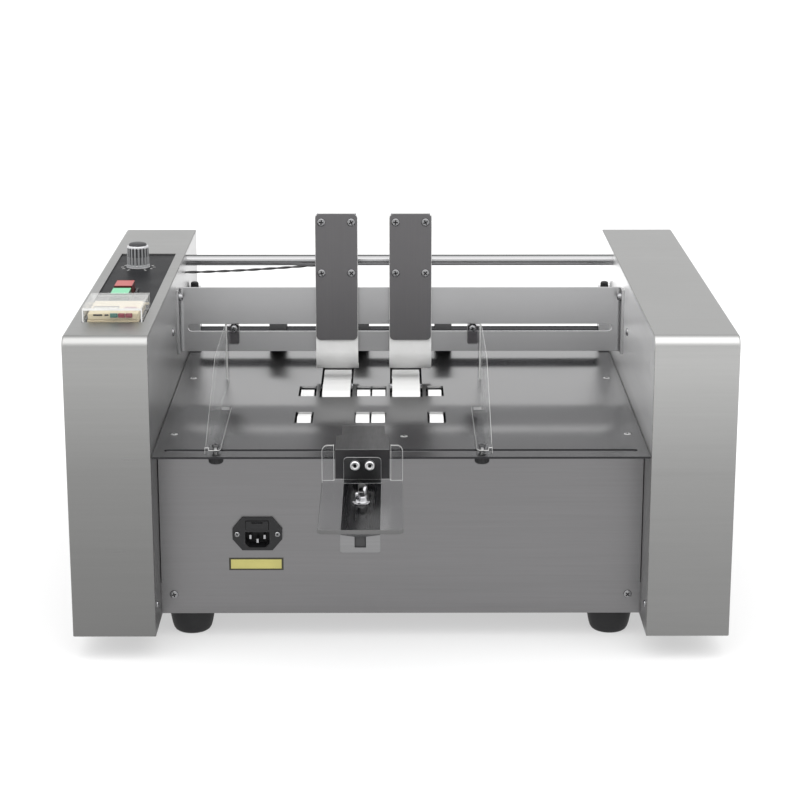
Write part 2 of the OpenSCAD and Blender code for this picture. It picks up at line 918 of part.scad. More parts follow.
module inlet_pins() {
    color(bright)
        inlet_at()
            for (i = [-1, 0, 1]) {
                translate([i * pin_pitch - pin_w / 2, socket_mid - pin_h / 2 + (i == 0 ? -pin_shift : pin_shift),
                        inlet_flange_t - socket_l])
                    cube([pin_w, pin_h, pin_l]);
            }
}

module fuse_drawer() {
    color(black)
        inlet_at()
            difference() {
                translate([-drawer_w / 2, drawer_mid - drawer_h / 2, inlet_flange_t - drawer_l])
                    cube([drawer_w, drawer_h, drawer_l + drawer_lip]);
                translate([-drawer_w / 4, drawer_mid + drawer_h / 2 - 2.2, inlet_flange_t - 1])
                    cube([drawer_w / 2, 1.4, drawer_lip + 2]);
            }
}

// Beam and tie bar

module beam_outline() {
    inner_r = beam_bend_r - beam_t;
    difference() {
        rounded([-x_in, beam_d - beam_fold], [x_in, beam_back_d], [0, 0, beam_bend_r, beam_bend_r]);
        rounded([-x_in + beam_t, beam_d - beam_fold - eps], [x_in - beam_t, beam_d], [0, 0, inner_r, inner_r]);
    }
}

module cross_beam() {
    color(steel)
        difference() {
            level(z_table + beam_up, z_table + beam_up + beam_h) beam_outline();
            facing(beam_d - eps, beam_back_d + eps)
                slot([-x_in + slot_in, guide_slot_z - slot_h / 2], [x_in - slot_in, guide_slot_z + slot_h / 2]);
            both_sides() beam_screw_at() translate([0, 0, -beam_t - eps])
                cylinder(d = beam_screw_dia + 2 * screw_gap, h = beam_t + 2 * eps);
        }
}

module tie_bar() {
    color(bright) {
        bar_x(-x_in, x_in, tie_d, z_table + tie_up, tie_dia);
        bar_x(-x_plate - 2, x_plate + 2, tie_d, z_table + tie_up, tie_spigot_dia);
    }
}

// Gates

module gate_plate(x) {
    color(dark_steel)
        difference() {
            facing(gate_d, gate_d + gate_t)
                rounded([x - gate_w / 2, z_table + gate_low], [x + gate_w / 2, z_table + gate_top],
                    [1, 1, 1, 1] * gate_corner_r);
            gate_screw_at(x) translate([0, 0, -gate_t - eps])
                cylinder(d = gate_screw_dia + 2 * screw_gap, h = gate_t + 2 * eps);
        }
}

module gate_screw_at(x) {
    for (s = [-1, 1]) {
        for (up = [gate_screw_low, gate_screw_high]) {
            translate([x + s * gate_screw_x, gate_d - y_mid, z_table + up])
                rotate([90, 0, 0])
                    children();
        }
    }
}

gate_screw_l = gate_t + separator_t + 4;

module gate_screws(x) {
    color(bright)
        gate_screw_at(x) pan_screw(gate_screw_dia, screw_head_dia, screw_head_h, gate_screw_l);
}

gate_back_inset = 2;
gate_block_top = z_table + gate_top - gate_back_inset;

module nose_quarter(r) {
    intersection() {
        translate([nose_d, nose_z]) circle(r);
        translate([nose_d - r, nose_z - r]) square([r, r]);
    }
}

module separator_outline() {
    translate([gate_d + gate_t, nose_z]) square([separator_t, gate_block_top - nose_z]);
    difference() {
        nose_quarter(nose_r);
        translate([nose_d, nose_z]) circle(nose_r - separator_t);
    }
    translate([nose_d, nose_z - nose_r]) square([nose_flat, separator_t]);
}

module separator(x) {
    color(white_rubber)
        difference() {
            across(x - separator_w / 2, x + separator_w / 2) separator_outline();
            gate_screw_at(x) translate([0, 0, -gate_screw_l - eps])
                cylinder(d = gate_screw_dia + 2 * screw_gap, h = gate_screw_l + 2 * eps);
        }
}

module gate_block_outline() {
    inner_r = nose_r - separator_t - seat_gap;
    toe_z = nose_z - inner_r;
    difference() {
        union() {
            translate([block_front_d, nose_z]) square([block_back_d - block_front_d, gate_block_top - nose_z]);
            nose_quarter(inner_r);
            translate([nose_d, toe_z]) square([nose_flat, toe_h]);
        }
        translate([block_back_d, toe_z + toe_h]) square([toe_d, gate_top]);
    }
}

module gate_block(x) {
    slot_low = guide_slot_z - boss_h / 2 - gate_rise - run_gap;
    slot_high = guide_slot_z + boss_h / 2 + gate_drop + run_gap;
    head_room = boss_head_t + 2 * run_gap;
    color(dark_steel)
        difference() {
            across(x - gate_w / 2 + 1, x + gate_w / 2 - 1) gate_block_outline();
            facing(block_front_d - eps, block_back_d + eps)
                translate([x - boss_w / 2 - run_gap, slot_low])
                    square([boss_w + 2 * run_gap, slot_high - slot_low]);
            facing(block_front_d - eps, block_front_d + head_room)
                translate([x - boss_head_w / 2 - run_gap, slot_low])
                    square([boss_head_w + 2 * run_gap, slot_high - slot_low]);
            gate_screw_at(x) translate([0, 0, -gate_screw_l - eps])
                cylinder(d = gate_screw_dia + 2 * screw_gap, h = gate_screw_l + 2 * eps);
        }
}

stud_l = gate_knob_l - 4;

module gate_carrier(x) {
    color(dark_steel) {
        facing(carrier_d, carrier_back_d)
            rounded([x - carrier_w / 2, guide_slot_z - carrier_h / 2],
                [x + carrier_w / 2, guide_slot_z + carrier_h / 2], [3, 3, 3, 3]);
        facing(block_front_d + run_gap, carrier_d + eps)
            translate([x - boss_w / 2, guide_slot_z - boss_h / 2])
                square([boss_w, boss_h]);
        facing(block_front_d + run_gap, block_front_d + run_gap + boss_head_t)
            translate([x - boss_head_w / 2, guide_slot_z - boss_h / 2])
                square([boss_head_w, boss_h]);
        bar_y(x, carrier_back_d - eps, carrier_back_d + stud_l, guide_slot_z, stud_dia);
    }
}

module gate_knob(x) {
    color(black)
        translate([x, carrier_back_d + run_gap - y_mid, guide_slot_z])
            rotate([-90, 0, 0])
                difference() {
                    fluted_knob(gate_knob_dia, gate_knob_l, 18);
                    translate([0, 0, -eps]) cylinder(d = stud_dia + 2 * run_gap, h = stud_l + eps + run_gap);
                }
}

module left_gate_carrier() { gate_carrier(left_gate_x); }
module left_gate_block() { gate_block(left_gate_x); }
module left_gate_plate() { gate_plate(left_gate_x); }
module left_separator() { separator(left_gate_x); }
module left_gate_screws() { gate_screws(left_gate_x); }
module left_gate_knob() { gate_knob(left_gate_x); }
module right_gate_carrier() { gate_carrier(right_gate_x); }
module right_gate_block() { gate_block(right_gate_x); }
module right_gate_plate() { gate_plate(right_gate_x); }
module right_separator() { separator(right_gate_x); }
module right_gate_screws() { gate_screws(right_gate_x); }
module right_gate_knob() { gate_knob(right_gate_x); }

// Feed belts, rollers and drive

// The point where a line from [reach, height] touches a circle of radius r round the origin
function touch(reach, height, r) =
    let (a = atan2(height, reach) + acos(r / norm([reach, height])))
    [r * cos(a), r * sin(a)];

// Outline of a narrow belt of radius r; its top run dips under the strip between two windows
module narrow_outline(r) {
    reach = window_l / 2 - 1;
    low = r - belt_proud - table_t - run_gap;
    t = touch(reach, low, r * 0.998);
    for (d = [front_d, drive_d]) {
        translate([d, shaft_z]) circle(r);
    }
    translate([0, shaft_z])
        polygon([
            [front_d, -r], [drive_d, -r], [drive_d - t[0], t[1]], [drive_d - reach, low],
            [front_d + reach, low], [front_d + t[0], t[1]]
        ]);
}

module wide_outline(r) {
    for (d = [drive_d, rear_d]) {
        translate([d, shaft_z]) circle(r);
    }
    translate([drive_d, shaft_z - r]) square([rear_d - drive_d, 2 * r]);
}

module narrow_belts() {
    color(white_rubber)
        for (x = narrow_xs) {
            across(x - narrow_w / 2, x + narrow_w / 2)
                difference() {
                    narrow_outline(belt_r);
                    narrow_outline(belt_r - belt_t);
                }
        }
}

module wide_belts() {
    color(white_rubber)
        for (x = wide_xs) {
            across(x - wide_w / 2, x + wide_w / 2)
                difference() {
                    wide_outline(belt_r);
                    wide_outline(belt_r - belt_t);
                }
        }
}

// A shaft between two ends, with a roller for each belt place
module roller(d, x0, x1, places, w) {
    bar_x(x0, x1, d, shaft_z, shaft_dia);
    for (x = places) {
        bar_x(x - w / 2 - roller_side, x + w / 2 + roller_side, d, shaft_z, 2 * roller_r);
    }
}

shaft_end = x_plate + bush_flange + 1;
motor_reach = 30;

module front_roller() {
    color(bright) roller(front_d, -shaft_end, shaft_end, narrow_xs, narrow_w);
}

module rear_roller() {
    color(bright) roller(rear_d, -shaft_end, shaft_end, wide_xs, wide_w);
}

// A belt pulley with two rims, on a shaft at depth d and height z
module pulley(d, z, r) {
    rim = exit_belt_t + 0.8;
    bar_x(-pulley_x - exit_belt_w - run_gap, -pulley_x + run_gap, d, z, 2 * r);
    for (x = [-pulley_x + run_gap, -pulley_x - exit_belt_w - run_gap - pulley_rim]) {
        bar_x(x, x + pulley_rim, d, z, 2 * (r + rim));
    }
}

pulley_end = pulley_x + exit_belt_w + run_gap + pulley_rim + 1;

module drive_roller() {
    color(bright) {
        roller(drive_d, -pulley_end, x_plate + motor_reach, narrow_xs, narrow_w);
        roller(drive_d, -pulley_end, x_plate + motor_reach, wide_xs, wide_w);
        pulley(drive_d, shaft_z, drive_pulley_r);
    }
}

module exit_shaft() {
    color(bright) {
        bar_x(-pulley_end, shaft_end, exit_d, exit_z, shaft_dia);
        pulley(exit_d, exit_z, exit_pulley_r);
    }
}

module ring(x, w, d, z, r, bore_r) {
    difference() {
        bar_x(x - w / 2, x + w / 2, d, z, 2 * r);
        bar_x(x - w / 2 - eps, x + w / 2 + eps, d, z, 2 * bore_r);
    }
}

module exit_rollers() {
    color(black)
        for (x = exit_xs) {
            ring(x, exit_w, exit_d, exit_z, exit_r, shaft_dia / 2 + shaft_fit);
        }
}

module pinch_wheels() {
    color(black)
        for (x = exit_xs) {
            ring(x, exit_w, exit_d, pinch_z, pinch_r, shaft_dia / 2 + shaft_fit);
        }
}

module pinch_shaft() {
    end = x_in - run_gap;
    color(bright) bar_x(-end, end, exit_d, pinch_z, shaft_dia);
}

// A loop round two pulleys whose radii are grown by the same amount
module exit_belt_outline(grow) {
    hull() {
        translate([drive_d, shaft_z]) circle(drive_pulley_r + grow);
        translate([exit_d, exit_z]) circle(exit_pulley_r + grow);
    }
}

module exit_belt() {
    color(black)
        across(-pulley_x - exit_belt_w, -pulley_x)
            difference() {
                exit_belt_outline(run_gap + exit_belt_t);
                exit_belt_outline(run_gap);
            }
}

module shaft_bearings() {
    color("peru")
        both_sides()
            for (s = shaft_places) {
                difference() {
                    union() {
                        bar_x(-x_plate, -x_in, s[0], s[1], 2 * bush_r);
                        bar_x(-x_plate - bush_flange, -x_plate, s[0], s[1], 2 * (bush_r + 2));
                    }
                    bar_x(-x_plate - bush_flange - eps, -x_in + eps, s[0], s[1], shaft_dia + 2 * shaft_fit);
                }
            }
}

// Gear motor in the right housing, with a hollow output for the drive roller's end
module gear_motor() {
    motor_x = x_plate + motor_dia / 2 + 2;
    color(dark_steel)
        difference() {
            union() {
                across(x_plate, x_plate + motor_l)
                    rounded([drive_d - motor_side / 2, shaft_z - motor_side / 2],
                        [drive_d + motor_side / 2, shaft_z + motor_side / 2], [6, 6, 6, 6]);
                bar_z(motor_x, drive_d, z_low + 8, shaft_z, motor_dia);
            }
            bar_x(x_plate - eps, x_plate + bush_flange + 2, drive_d, shaft_z, motor_spigot);
            bar_x(x_plate, x_plate + motor_reach + 2, drive_d, shaft_z, shaft_dia + 2 * shaft_fit);
        }
}

pinch_block_low = 4;
pressure_x = x_in - pinch_block_w / 2;
pressure_screw_dia = 6;
pressure_screw_l = 26;

module pinch_blocks() {
    color(dark_steel)
        both_sides()
            difference() {
                across(-x_in, -x_in + pinch_block_w)
                    translate([exit_d - pinch_block_d / 2, z_table + pinch_block_low])
                        square([pinch_block_d, pinch_block_h - pinch_block_low]);
                bar_x(-x_in - eps, -x_in + pinch_block_w + eps, exit_d, pinch_z, shaft_dia + 2 * shaft_fit);
                bar_z(-pressure_x, exit_d, z_table + pinch_block_h - pressure_screw_l - run_gap,
                    z_table + pinch_block_h + eps, pressure_screw_dia + 2 * run_gap);
            }
}

module pressure_knob() {
    color(black) {
        translate([-pressure_x, exit_d - y_mid, z_table + pinch_block_h + run_gap])
            fluted_knob(pressure_knob_dia, pressure_knob_h, 16);
        bar_z(-pressure_x, exit_d, z_table + pinch_block_h - pressure_screw_l,
            z_table + pinch_block_h + run_gap + eps, pressure_screw_dia);
    }
}

module left_pressure_knob() { pressure_knob(); }
module right_pressure_knob() { mirror([1, 0, 0]) pressure_knob(); }

// Sheet sensor and its lead

sensor_clamp_r = tie_dia / 2 + 4;
sensor_drop = 44;

module sensor() {
    color(black)
        difference() {
            union() {
                bar_x(sensor_x - sensor_w / 2, sensor_x + sensor_w / 2, tie_d, z_table + tie_up, 2 * sensor_clamp_r);
                across(sensor_x - sensor_w / 2, sensor_x + sensor_w / 2)
                    translate([tie_d - sensor_clamp_r, z_table + tie_up - sensor_drop])
                        square([2 * sensor_clamp_r, sensor_drop]);
            }
            bar_x(sensor_x - sensor_w / 2 - eps, sensor_x + sensor_w / 2 + eps, tie_d, z_table + tie_up,
                tie_dia + 2 * shaft_fit);
        }
}

// Ring of the lead's tube at point i, square to its route
lead_sides = 8;

function lead_ring(i) =
    let (
        n = len(lead_points) - 1,
        dir = lead_points[min(i + 1, n)] - lead_points[max(i - 1, 0)],
        t = dir / norm(dir),
        u = cross(t, [0, 0, 1]) / norm(cross(t, [0, 0, 1])),
        v = cross(u, t)
    )
    [for (k = [0 : lead_sides - 1])
        let (a = k * 360 / lead_sides)
        lead_points[i] + lead_dia / 2 * (cos(a) * u + sin(a) * v)];

module sensor_cable() {
    n = len(lead_points);
    rings = [for (i = [0 : n - 1]) each lead_ring(i)];
    sides = [for (i = [0 : n - 2]) for (k = [0 : lead_sides - 1])
        let (a = i * lead_sides + k, b = i * lead_sides + (k + 1) % lead_sides)
        each [[a, b, b + lead_sides], [a, b + lead_sides, a + lead_sides]]];
    start = [[for (k = [lead_sides - 1 : -1 : 0]) k]];
    end = [[for (k = [0 : lead_sides - 1]) (n - 1) * lead_sides + k]];
    color(black) polyhedron(rings, concat(sides, start, end));
}

// Side guides, drawn with the outer face of the wall at x = 0 and the sheets on the +x side

module guide_wall_outline() {
    polygon([
        [guide_front_d, foot_z], [guide_back_d, foot_z], [guide_back_d, z_table + guide_h],
        [guide_knee_d, z_table + guide_h], [guide_front_d + 12, z_table + guide_low],
        [guide_front_d, z_table + guide_low]
    ]);
}

guide_bolt_x = guide_t + (guide_tab_w - guide_t) / 2;
guide_screw_x = guide_t + (guide_foot_w - guide_t) / 2;

module guide() {
    tab_top = z_table + guide_h;
    color(clear)
        difference() {
            union() {
                across(0, guide_t) guide_wall_outline();
                level(foot_z, foot_z + guide_t)
                    rounded([guide_t - eps, guide_front_d], [guide_foot_w, guide_foot_d], [0, 4, 4, 0]);
                facing(guide_back_d - guide_t, guide_back_d)
                    rounded([guide_t - eps, tab_top - guide_tab_h], [guide_tab_w, tab_top], [0, 3, 3, 0]);
            }
            bar_y(guide_bolt_x, guide_back_d - guide_t - eps, guide_back_d + eps, guide_slot_z,
                guide_bolt_dia + 2 * screw_gap);
            bar_z(guide_screw_x, table_slot_d, foot_z - eps, foot_z + guide_t + eps,
                guide_bolt_dia + 2 * screw_gap);
        }
}

// Rear bolt with its nut behind the beam, and the front screw that the clamp knob turns on
nut_t = 4;
nut_dia = 10;
nut_d = beam_back_d + run_gap;
knob_top = z_under - run_gap;

module guide_bolt() {
    color(bright) {
        translate([guide_bolt_x, guide_back_d - guide_t - y_mid, guide_slot_z])
            rotate([90, 0, 0])
                pan_screw(guide_bolt_dia, guide_head_dia, guide_head_h, nut_d + nut_t - guide_back_d + guide_t + 1);
        translate([guide_bolt_x, nut_d - y_mid, guide_slot_z])
            rotate([-90, 0, 0])
                cylinder(d = nut_dia, h = nut_t, $fn = 6);
        translate([guide_screw_x, table_slot_d - y_mid, foot_z + guide_t])
            pan_screw(guide_bolt_dia, guide_head_dia, guide_head_h, foot_z + guide_t - knob_top + guide_knob_h - 3);
    }
}

module guide_knob() {
    color(black)
        translate([guide_screw_x, table_slot_d - y_mid, knob_top - guide_knob_h])
            difference() {
                fluted_knob(guide_knob_dia, guide_knob_h, 16);
                translate([0, 0, 2]) cylinder(d = guide_bolt_dia + 2 * run_gap, h = guide_knob_h);
            }
}

module left_guide() { translate([left_guide_x, 0, 0]) guide(); }
module left_guide_bolt() { translate([left_guide_x, 0, 0]) guide_bolt(); }
module left_guide_knob() { translate([left_guide_x, 0, 0]) guide_knob(); }
module right_guide() { translate([right_guide_x, 0, 0]) mirror([1, 0, 0]) guide(); }
module right_guide_bolt() { translate([right_guide_x, 0, 0]) mirror([1, 0, 0]) guide_bolt(); }
module right_guide_knob() { translate([right_guide_x, 0, 0]) mirror([1, 0, 0]) guide_knob(); }

// Back stop

ramp_shoulder_l = 8;
ramp_clip_l = 34;
ramp_top = z_table + ramp_h;

// Side outline of the ramp: slope, front flange and the fold that grips under the table
module ramp_outline() {
    clip_z = z_under - seat_gap - stop_t;
    polygon([
        [flange_front_d, ramp_top], [ramp_d, z_table + stop_t / 4], [ramp_d, z_table],
        [ramp_d - 10, z_table], [flange_back_d, ramp_top - stop_t], [flange_back_d, z_under - seat_gap],
        [ramp_clip_l, z_under - seat_gap], [ramp_clip_l, clip_z], [flange_back_d, clip_z],
        [flange_back_d, z_table - ramp_drop], [flange_front_d, z_table - ramp_drop]
    ]);
}

module stop_ramp() {
    a = ramp_w / 2;
    b = ramp_tongue_w / 2;
    color(dark_steel)
        difference() {
            intersection() {
                across(stop_x - a, stop_x + a) ramp_outline();
                level(z_table - ramp_drop - eps, ramp_top + eps)
                    translate([stop_x, 0])
                        polygon([
                            [-a, flange_front_d], [a, flange_front_d], [a, ramp_shoulder_d],
                            [b, ramp_shoulder_d + ramp_shoulder_l], [b, ramp_d], [-b, ramp_d],
                            [-b, ramp_shoulder_d + ramp_shoulder_l], [-a, ramp_shoulder_d]
                        ]);
            }
            stop_screw_at() translate([0, 0, -2 * stop_t - eps])
                cylinder(d = stop_screw_dia + 2 * screw_gap, h = 2 * stop_t + 2 * eps);
        }
}

lip_hole = 10;
bracket_corner_r = 4;

module stop_bracket() {
    a = shelf_w / 2;
    lip_low = shelf_z - shelf_lip;
    color(steel)
        difference() {
            union() {
                facing(bracket_front_d, flange_front_d)
                    rounded([stop_x - a, shelf_z], [stop_x + a, z_table + 1], [0, 0, 1, 1] * bracket_corner_r);
                level(shelf_z, shelf_top)
                    translate([stop_x - a, -stop_reach])
                        square([shelf_w, stop_reach + flange_front_d]);
                facing(-stop_reach, -stop_reach + stop_t)
                    rounded([stop_x - a, lip_low], [stop_x + a, shelf_top], [2, 2, 0, 0]);
                bar_z(stop_x, -wing_out, shelf_top - eps, stud_top, wing_dia);
            }
            stop_screw_at() translate([0, 0, -2 * stop_t - eps])
                cylinder(d = stop_screw_dia + 2 * screw_gap, h = 2 * stop_t + 2 * eps);
            facing(-stop_reach - eps, -stop_reach + stop_t + eps)
                translate([stop_x - lip_hole / 2, shelf_z - lip_hole])
                    square([lip_hole, lip_hole]);
        }
}

ear_corner_r = 6;

module back_stop() {
    a = back_stop_w / 2;
    front_d = -stop_reach;
    slot_r = wing_dia / 2 + run_gap;
    slot_x = stop_x - slot_r;
    color(clear)
        difference() {
            union() {
                level(stop_z, stop_z + back_stop_t)
                    rounded([stop_x - a, front_d], [stop_x + a, ear_back_d], [5, 5, 0, 0]);
                facing(ear_front_d, ear_back_d)
                    rounded([stop_x - a, stop_z], [stop_x + a, z_table + ear_h], [0, 0, 1, 1] * ear_corner_r);
            }
            facing(ear_front_d - eps, ear_back_d + eps)
                translate([stop_x - stop_cut_w / 2, stop_z + back_stop_t])
                    square([stop_cut_w, z_table + ear_h]);
            level(stop_z - eps, stop_z + back_stop_t + eps)
                rounded([slot_x, -wing_out - slot_r], [slot_x + 2 * slot_r, -wing_out + stop_travel + slot_r],
                    [1, 1, 1, 1] * slot_r);
        }
}

wing_z = stop_z + back_stop_t + run_gap;
wing_base_dia = 13;
wing_base_h = 7;
wing_h = 13;
wing_span = 24;
wing_t = 3;
wing_turn = 68;
stud_top = wing_z + wing_base_h + 4;

module wing_nut() {
    color(bright)
        translate([stop_x, -wing_out - y_mid, wing_z])
            rotate([0, 0, wing_turn]) difference() {
                union() {
                    cylinder(d = wing_base_dia + 4, h = 1.5);
                    cylinder(d1 = wing_base_dia, d2 = wing_base_dia - 3, h = wing_base_h);
                    translate([0, wing_t / 2, 0])
                        rotate([90, 0, 0])
                            linear_extrude(wing_t)
                                for (s = [0, 1]) {
                                    mirror([s, 0])
                                        polygon([
                                            [2, 2], [wing_span * 0.28, 4], [wing_span / 2, wing_h * 0.7],
                                            [wing_span / 2 - 1, wing_h], [wing_span * 0.3, wing_h], [4, wing_base_h]
                                        ]);
                                }
                }
                translate([0, 0, -eps]) cylinder(d = wing_dia + 2 * run_gap, h = wing_h);
            }
}

// Controls

control_rim = 4;

module control_panel() {
    color(black)
        difference() {
            level(control_z - control_t, control_z)
                difference() {
                    translate([window_x0 - control_rim, window_front_d - control_rim])
                        square([window_w + 2 * control_rim, window_len + 2 * control_rim]);
                    translate([window_mid_x - counter_body_w / 2 + 2, counter_front_d + 6])
                        square([counter_body_w - 4, counter_body_l - 6]);
                    for (d = [green_front_d, red_front_d]) {
                        translate([button_x - button_w / 2 - run_gap, d - run_gap])
                            square([button_w + 2 * run_gap, button_l + 2 * run_gap]);
                    }
                }
            bar_z(knob_x, knob_d, control_z - control_t - eps, control_z + eps, pot_dia + 2 * run_gap);
        }
}

counter_body_w = counter_w - 2 * counter_wall - 4;
counter_body_l = counter_l - 14;
counter_body_h = counter_h - counter_wall - 3;
counter_body_drop = 32;
counter_lug_w = 4;

module counter() {
    low = window_mid_x - counter_body_w / 2;
    high = window_mid_x + counter_body_w / 2;
    front = counter_front_d + counter_wall + 2;
    pin_reach = counter_w / 2 - 0.4;
    color([0.86, 0.82, 0.72]) {
        level(control_z, control_z + counter_body_h)
            rounded([low, front], [high, front + counter_body_l], [2, 2, 2, 2]);
        level(control_z - counter_body_drop, control_z + eps)
            translate([low + 2 + seat_gap, counter_front_d + 6 + seat_gap])
                square([counter_body_w - 4 - 2 * seat_gap, counter_body_l - 6 - 2 * seat_gap]);
        for (x = [low, high - counter_lug_w]) {
            across(x, x + counter_lug_w)
                translate([front, control_z])
                    square([hinge_d + 1.5 - front, hinge_up + 1.5]);
        }
        bar_x(window_mid_x - pin_reach, low + eps, hinge_d, hinge_z, hinge_pin_dia);
        bar_x(high - eps, window_mid_x + pin_reach, hinge_d, hinge_z, hinge_pin_dia);
    }
}

// Side outline of the clear cover; its rear lower corner is rounded about the hinge
module counter_cover_outline(inset) {
    low = control_z + run_gap;
    high = control_z + counter_h - inset;
    corner = hinge_in - inset;
    translate([counter_front_d + inset, low - (inset > 0 ? eps : 0)])
        square([hinge_d - counter_front_d - inset, high - low + (inset > 0 ? eps : 0)]);
    translate([hinge_d - eps, hinge_z]) square([corner + eps, high - hinge_z]);
    translate([hinge_d, hinge_z]) circle(corner);
}

module counter_cover() {
    a = counter_w / 2;
    color(clear)
        difference() {
            across(window_mid_x - a, window_mid_x + a) counter_cover_outline(0);
            across(window_mid_x - a + counter_wall, window_mid_x + a - counter_wall)
                counter_cover_outline(counter_wall);
            across(window_mid_x - a + counter_wall, window_mid_x + a - counter_wall)
                translate([hinge_d - 4, control_z - eps])
                    square([8, hinge_up + 3.5]);
            bar_x(window_mid_x - a - eps, window_mid_x + a + eps, hinge_d, hinge_z,
                hinge_pin_dia + 2 * shaft_fit);
        }
}

// A push button with a rim that keeps it under the control panel
module push_button(d, h) {
    low = control_z - control_t - run_gap - button_travel - 1;
    level(low, control_z + h)
        rounded([button_x - button_w / 2, d], [button_x + button_w / 2, d + button_l], [1, 1, 1, 1]);
    level(control_z - control_t - run_gap - 1.5, control_z - control_t - run_gap)
        translate([button_x - button_w / 2 - button_rim, d - button_rim])
            square([button_w + 2 * button_rim, button_l + 2 * button_rim]);
}

module red_button() { color([0.80, 0.16, 0.15]) push_button(red_front_d, red_h); }
module green_button() { color([0.20, 0.70, 0.42]) push_button(green_front_d, green_h); }

knob_x = window_mid_x - 4.5;
pot_dia = 6;
pot_l = 16;
knob_skirt_dia = knob_dia + 3;
knob_skirt_h = 3;
knob_cap_h = 1.2;

module speed_knob() {
    color([0.45, 0.46, 0.47])
        translate([knob_x, knob_d - y_mid, control_z + run_gap]) {
            cylinder(d = knob_skirt_dia, h = knob_skirt_h);
            fluted_knob(knob_dia, knob_h - knob_cap_h, 20);
            cylinder(d = knob_dia - 6, h = knob_h);
            translate([0, 0, -control_t - run_gap - pot_l]) cylinder(d = pot_dia, h = control_t + pot_l + 1);
        }
}

switch_h = 26;
pot_body_dia = 24;
pot_body_h = 12;

// Switch block under the two buttons, and the potentiometer under the speed knob
module control_modules() {
    under = control_z - control_t;
    switch_top = under - run_gap - 2 * button_travel - 1 - run_gap;
    wall = 2;
    rim = button_rim + run_gap;
    color([0.20, 0.22, 0.26]) {
        difference() {
            level(switch_top - switch_h, under)
                translate([button_x - button_w / 2 - rim - wall, green_front_d - rim - wall])
                    square([button_w + 2 * (rim + wall), red_front_d + button_l - green_front_d + 2 * (rim + wall)]);
            level(switch_top, under + eps)
                translate([button_x - button_w / 2 - rim, green_front_d - rim])
                    square([button_w + 2 * rim, red_front_d + button_l - green_front_d + 2 * rim]);
        }
        difference() {
            bar_z(knob_x, knob_d, under - pot_body_h, under, pot_body_dia);
            bar_z(knob_x, knob_d, under - pot_l - eps, under + eps, pot_dia + 2 * shaft_fit);
        }
    }
}

left_cover();
right_cover();
left_side_plate();
right_side_plate();
table_plate();
front_panel();
chassis_tray();
rubber_feet();
frame_screws();
power_inlet();
inlet_pins();
fuse_drawer();
cross_beam();
tie_bar();
left_gate_carrier();
left_gate_block();
left_gate_plate();
left_separator();
left_gate_screws();
left_gate_knob();
right_gate_carrier();
right_gate_block();
right_gate_plate();
right_separator();
right_gate_screws();
right_gate_knob();
narrow_belts();
wide_belts();
front_roller();
drive_roller();
rear_roller();
exit_shaft();
exit_rollers();
pinch_shaft();
pinch_wheels();
exit_belt();
shaft_bearings();
gear_motor();
pinch_blocks();
left_pressure_knob();
right_pressure_knob();
sensor();
sensor_cable();
left_guide();
right_guide();
left_guide_bolt();
right_guide_bolt();
left_guide_knob();
right_guide_knob();
stop_ramp();
stop_bracket();
back_stop();
wing_nut();
control_panel();
counter();
counter_cover();
red_button();
green_button();
speed_knob();
control_modules();
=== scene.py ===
import bpy
import bmesh
import math
from mathutils import Matrix, Vector


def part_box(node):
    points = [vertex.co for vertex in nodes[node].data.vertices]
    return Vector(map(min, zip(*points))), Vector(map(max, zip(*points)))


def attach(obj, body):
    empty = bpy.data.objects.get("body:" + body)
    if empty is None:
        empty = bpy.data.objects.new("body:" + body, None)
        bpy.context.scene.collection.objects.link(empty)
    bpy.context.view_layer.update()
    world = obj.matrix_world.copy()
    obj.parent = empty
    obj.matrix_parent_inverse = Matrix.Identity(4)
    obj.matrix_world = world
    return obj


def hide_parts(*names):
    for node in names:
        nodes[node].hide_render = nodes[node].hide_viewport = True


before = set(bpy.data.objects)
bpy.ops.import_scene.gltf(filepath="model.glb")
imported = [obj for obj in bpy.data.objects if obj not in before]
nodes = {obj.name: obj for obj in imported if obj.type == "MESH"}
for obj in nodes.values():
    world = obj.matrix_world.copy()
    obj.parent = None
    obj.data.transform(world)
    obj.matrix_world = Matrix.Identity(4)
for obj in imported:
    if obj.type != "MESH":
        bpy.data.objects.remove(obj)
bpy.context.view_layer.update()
scene = bpy.context.scene

MM = 0.001
UP, FRONT, REAR = (0, 0, 1), (0, -1, 0), (0, 1, 0)

# Places and sizes in millimetres: X across, D behind the covers' front, Z above the floor.
Y_MID = 191.5
Z_LOW, Z_TOP = 25.0, 325.0
X_IN, X_OUT = 239.0, 320.0
COVER_D = 540.0
COVER_SHEET = 1.45
FRONT_FOLD, REAR_FOLD = 11.0, 3.0
OUTER_RIM, INNER_RIM = 2.4, 0.7
WINDOW_X = (-309.0, -249.0)
WINDOW_D = (62.0, 396.0)
CONTROL_Z = 323.5
KNOB_X, KNOB_D = -283.5, 330.0
BUTTON_X, BUTTON_HALF_W = -282.9, 9.3
BUTTON_L = 27.0
COUNTER_X = -279.0
LID_SHEET = 2.2
LID_HIGHLIGHT_Z, LID_HIGHLIGHT_W = 336.4, 1.2
SLOT_Z = 264.5
GATE_X = {"left": -67.5, "right": 11.0}
GATE_D = 280.0
GUIDE_X = {"left": -188.0, "right": 87.5}
GUIDE_INWARD = {"left": 1, "right": -1}
GUIDE_SHEET = 4.0
GUIDE_BOLT = 9.75
GUIDE_CLAMP, GUIDE_CLAMP_D = 9.5, 22.0
PRESSURE_KNOB_X = {"left": -233.0, "right": 233.0}
STOP_X, STOP_SHEET = -37.0, 4.0
INLET_X, INLET_Z = -142.0, 112.0
FOOT_X, FOOT_D = (-211.0, 211.0), (88.0, 480.0)


def at(x, d, z):
    """A point from millimetres: across, behind the covers' front, above the floor."""
    return Vector((x * MM, (d - Y_MID) * MM, z * MM))


# ---------------------------------------------------------------- materials

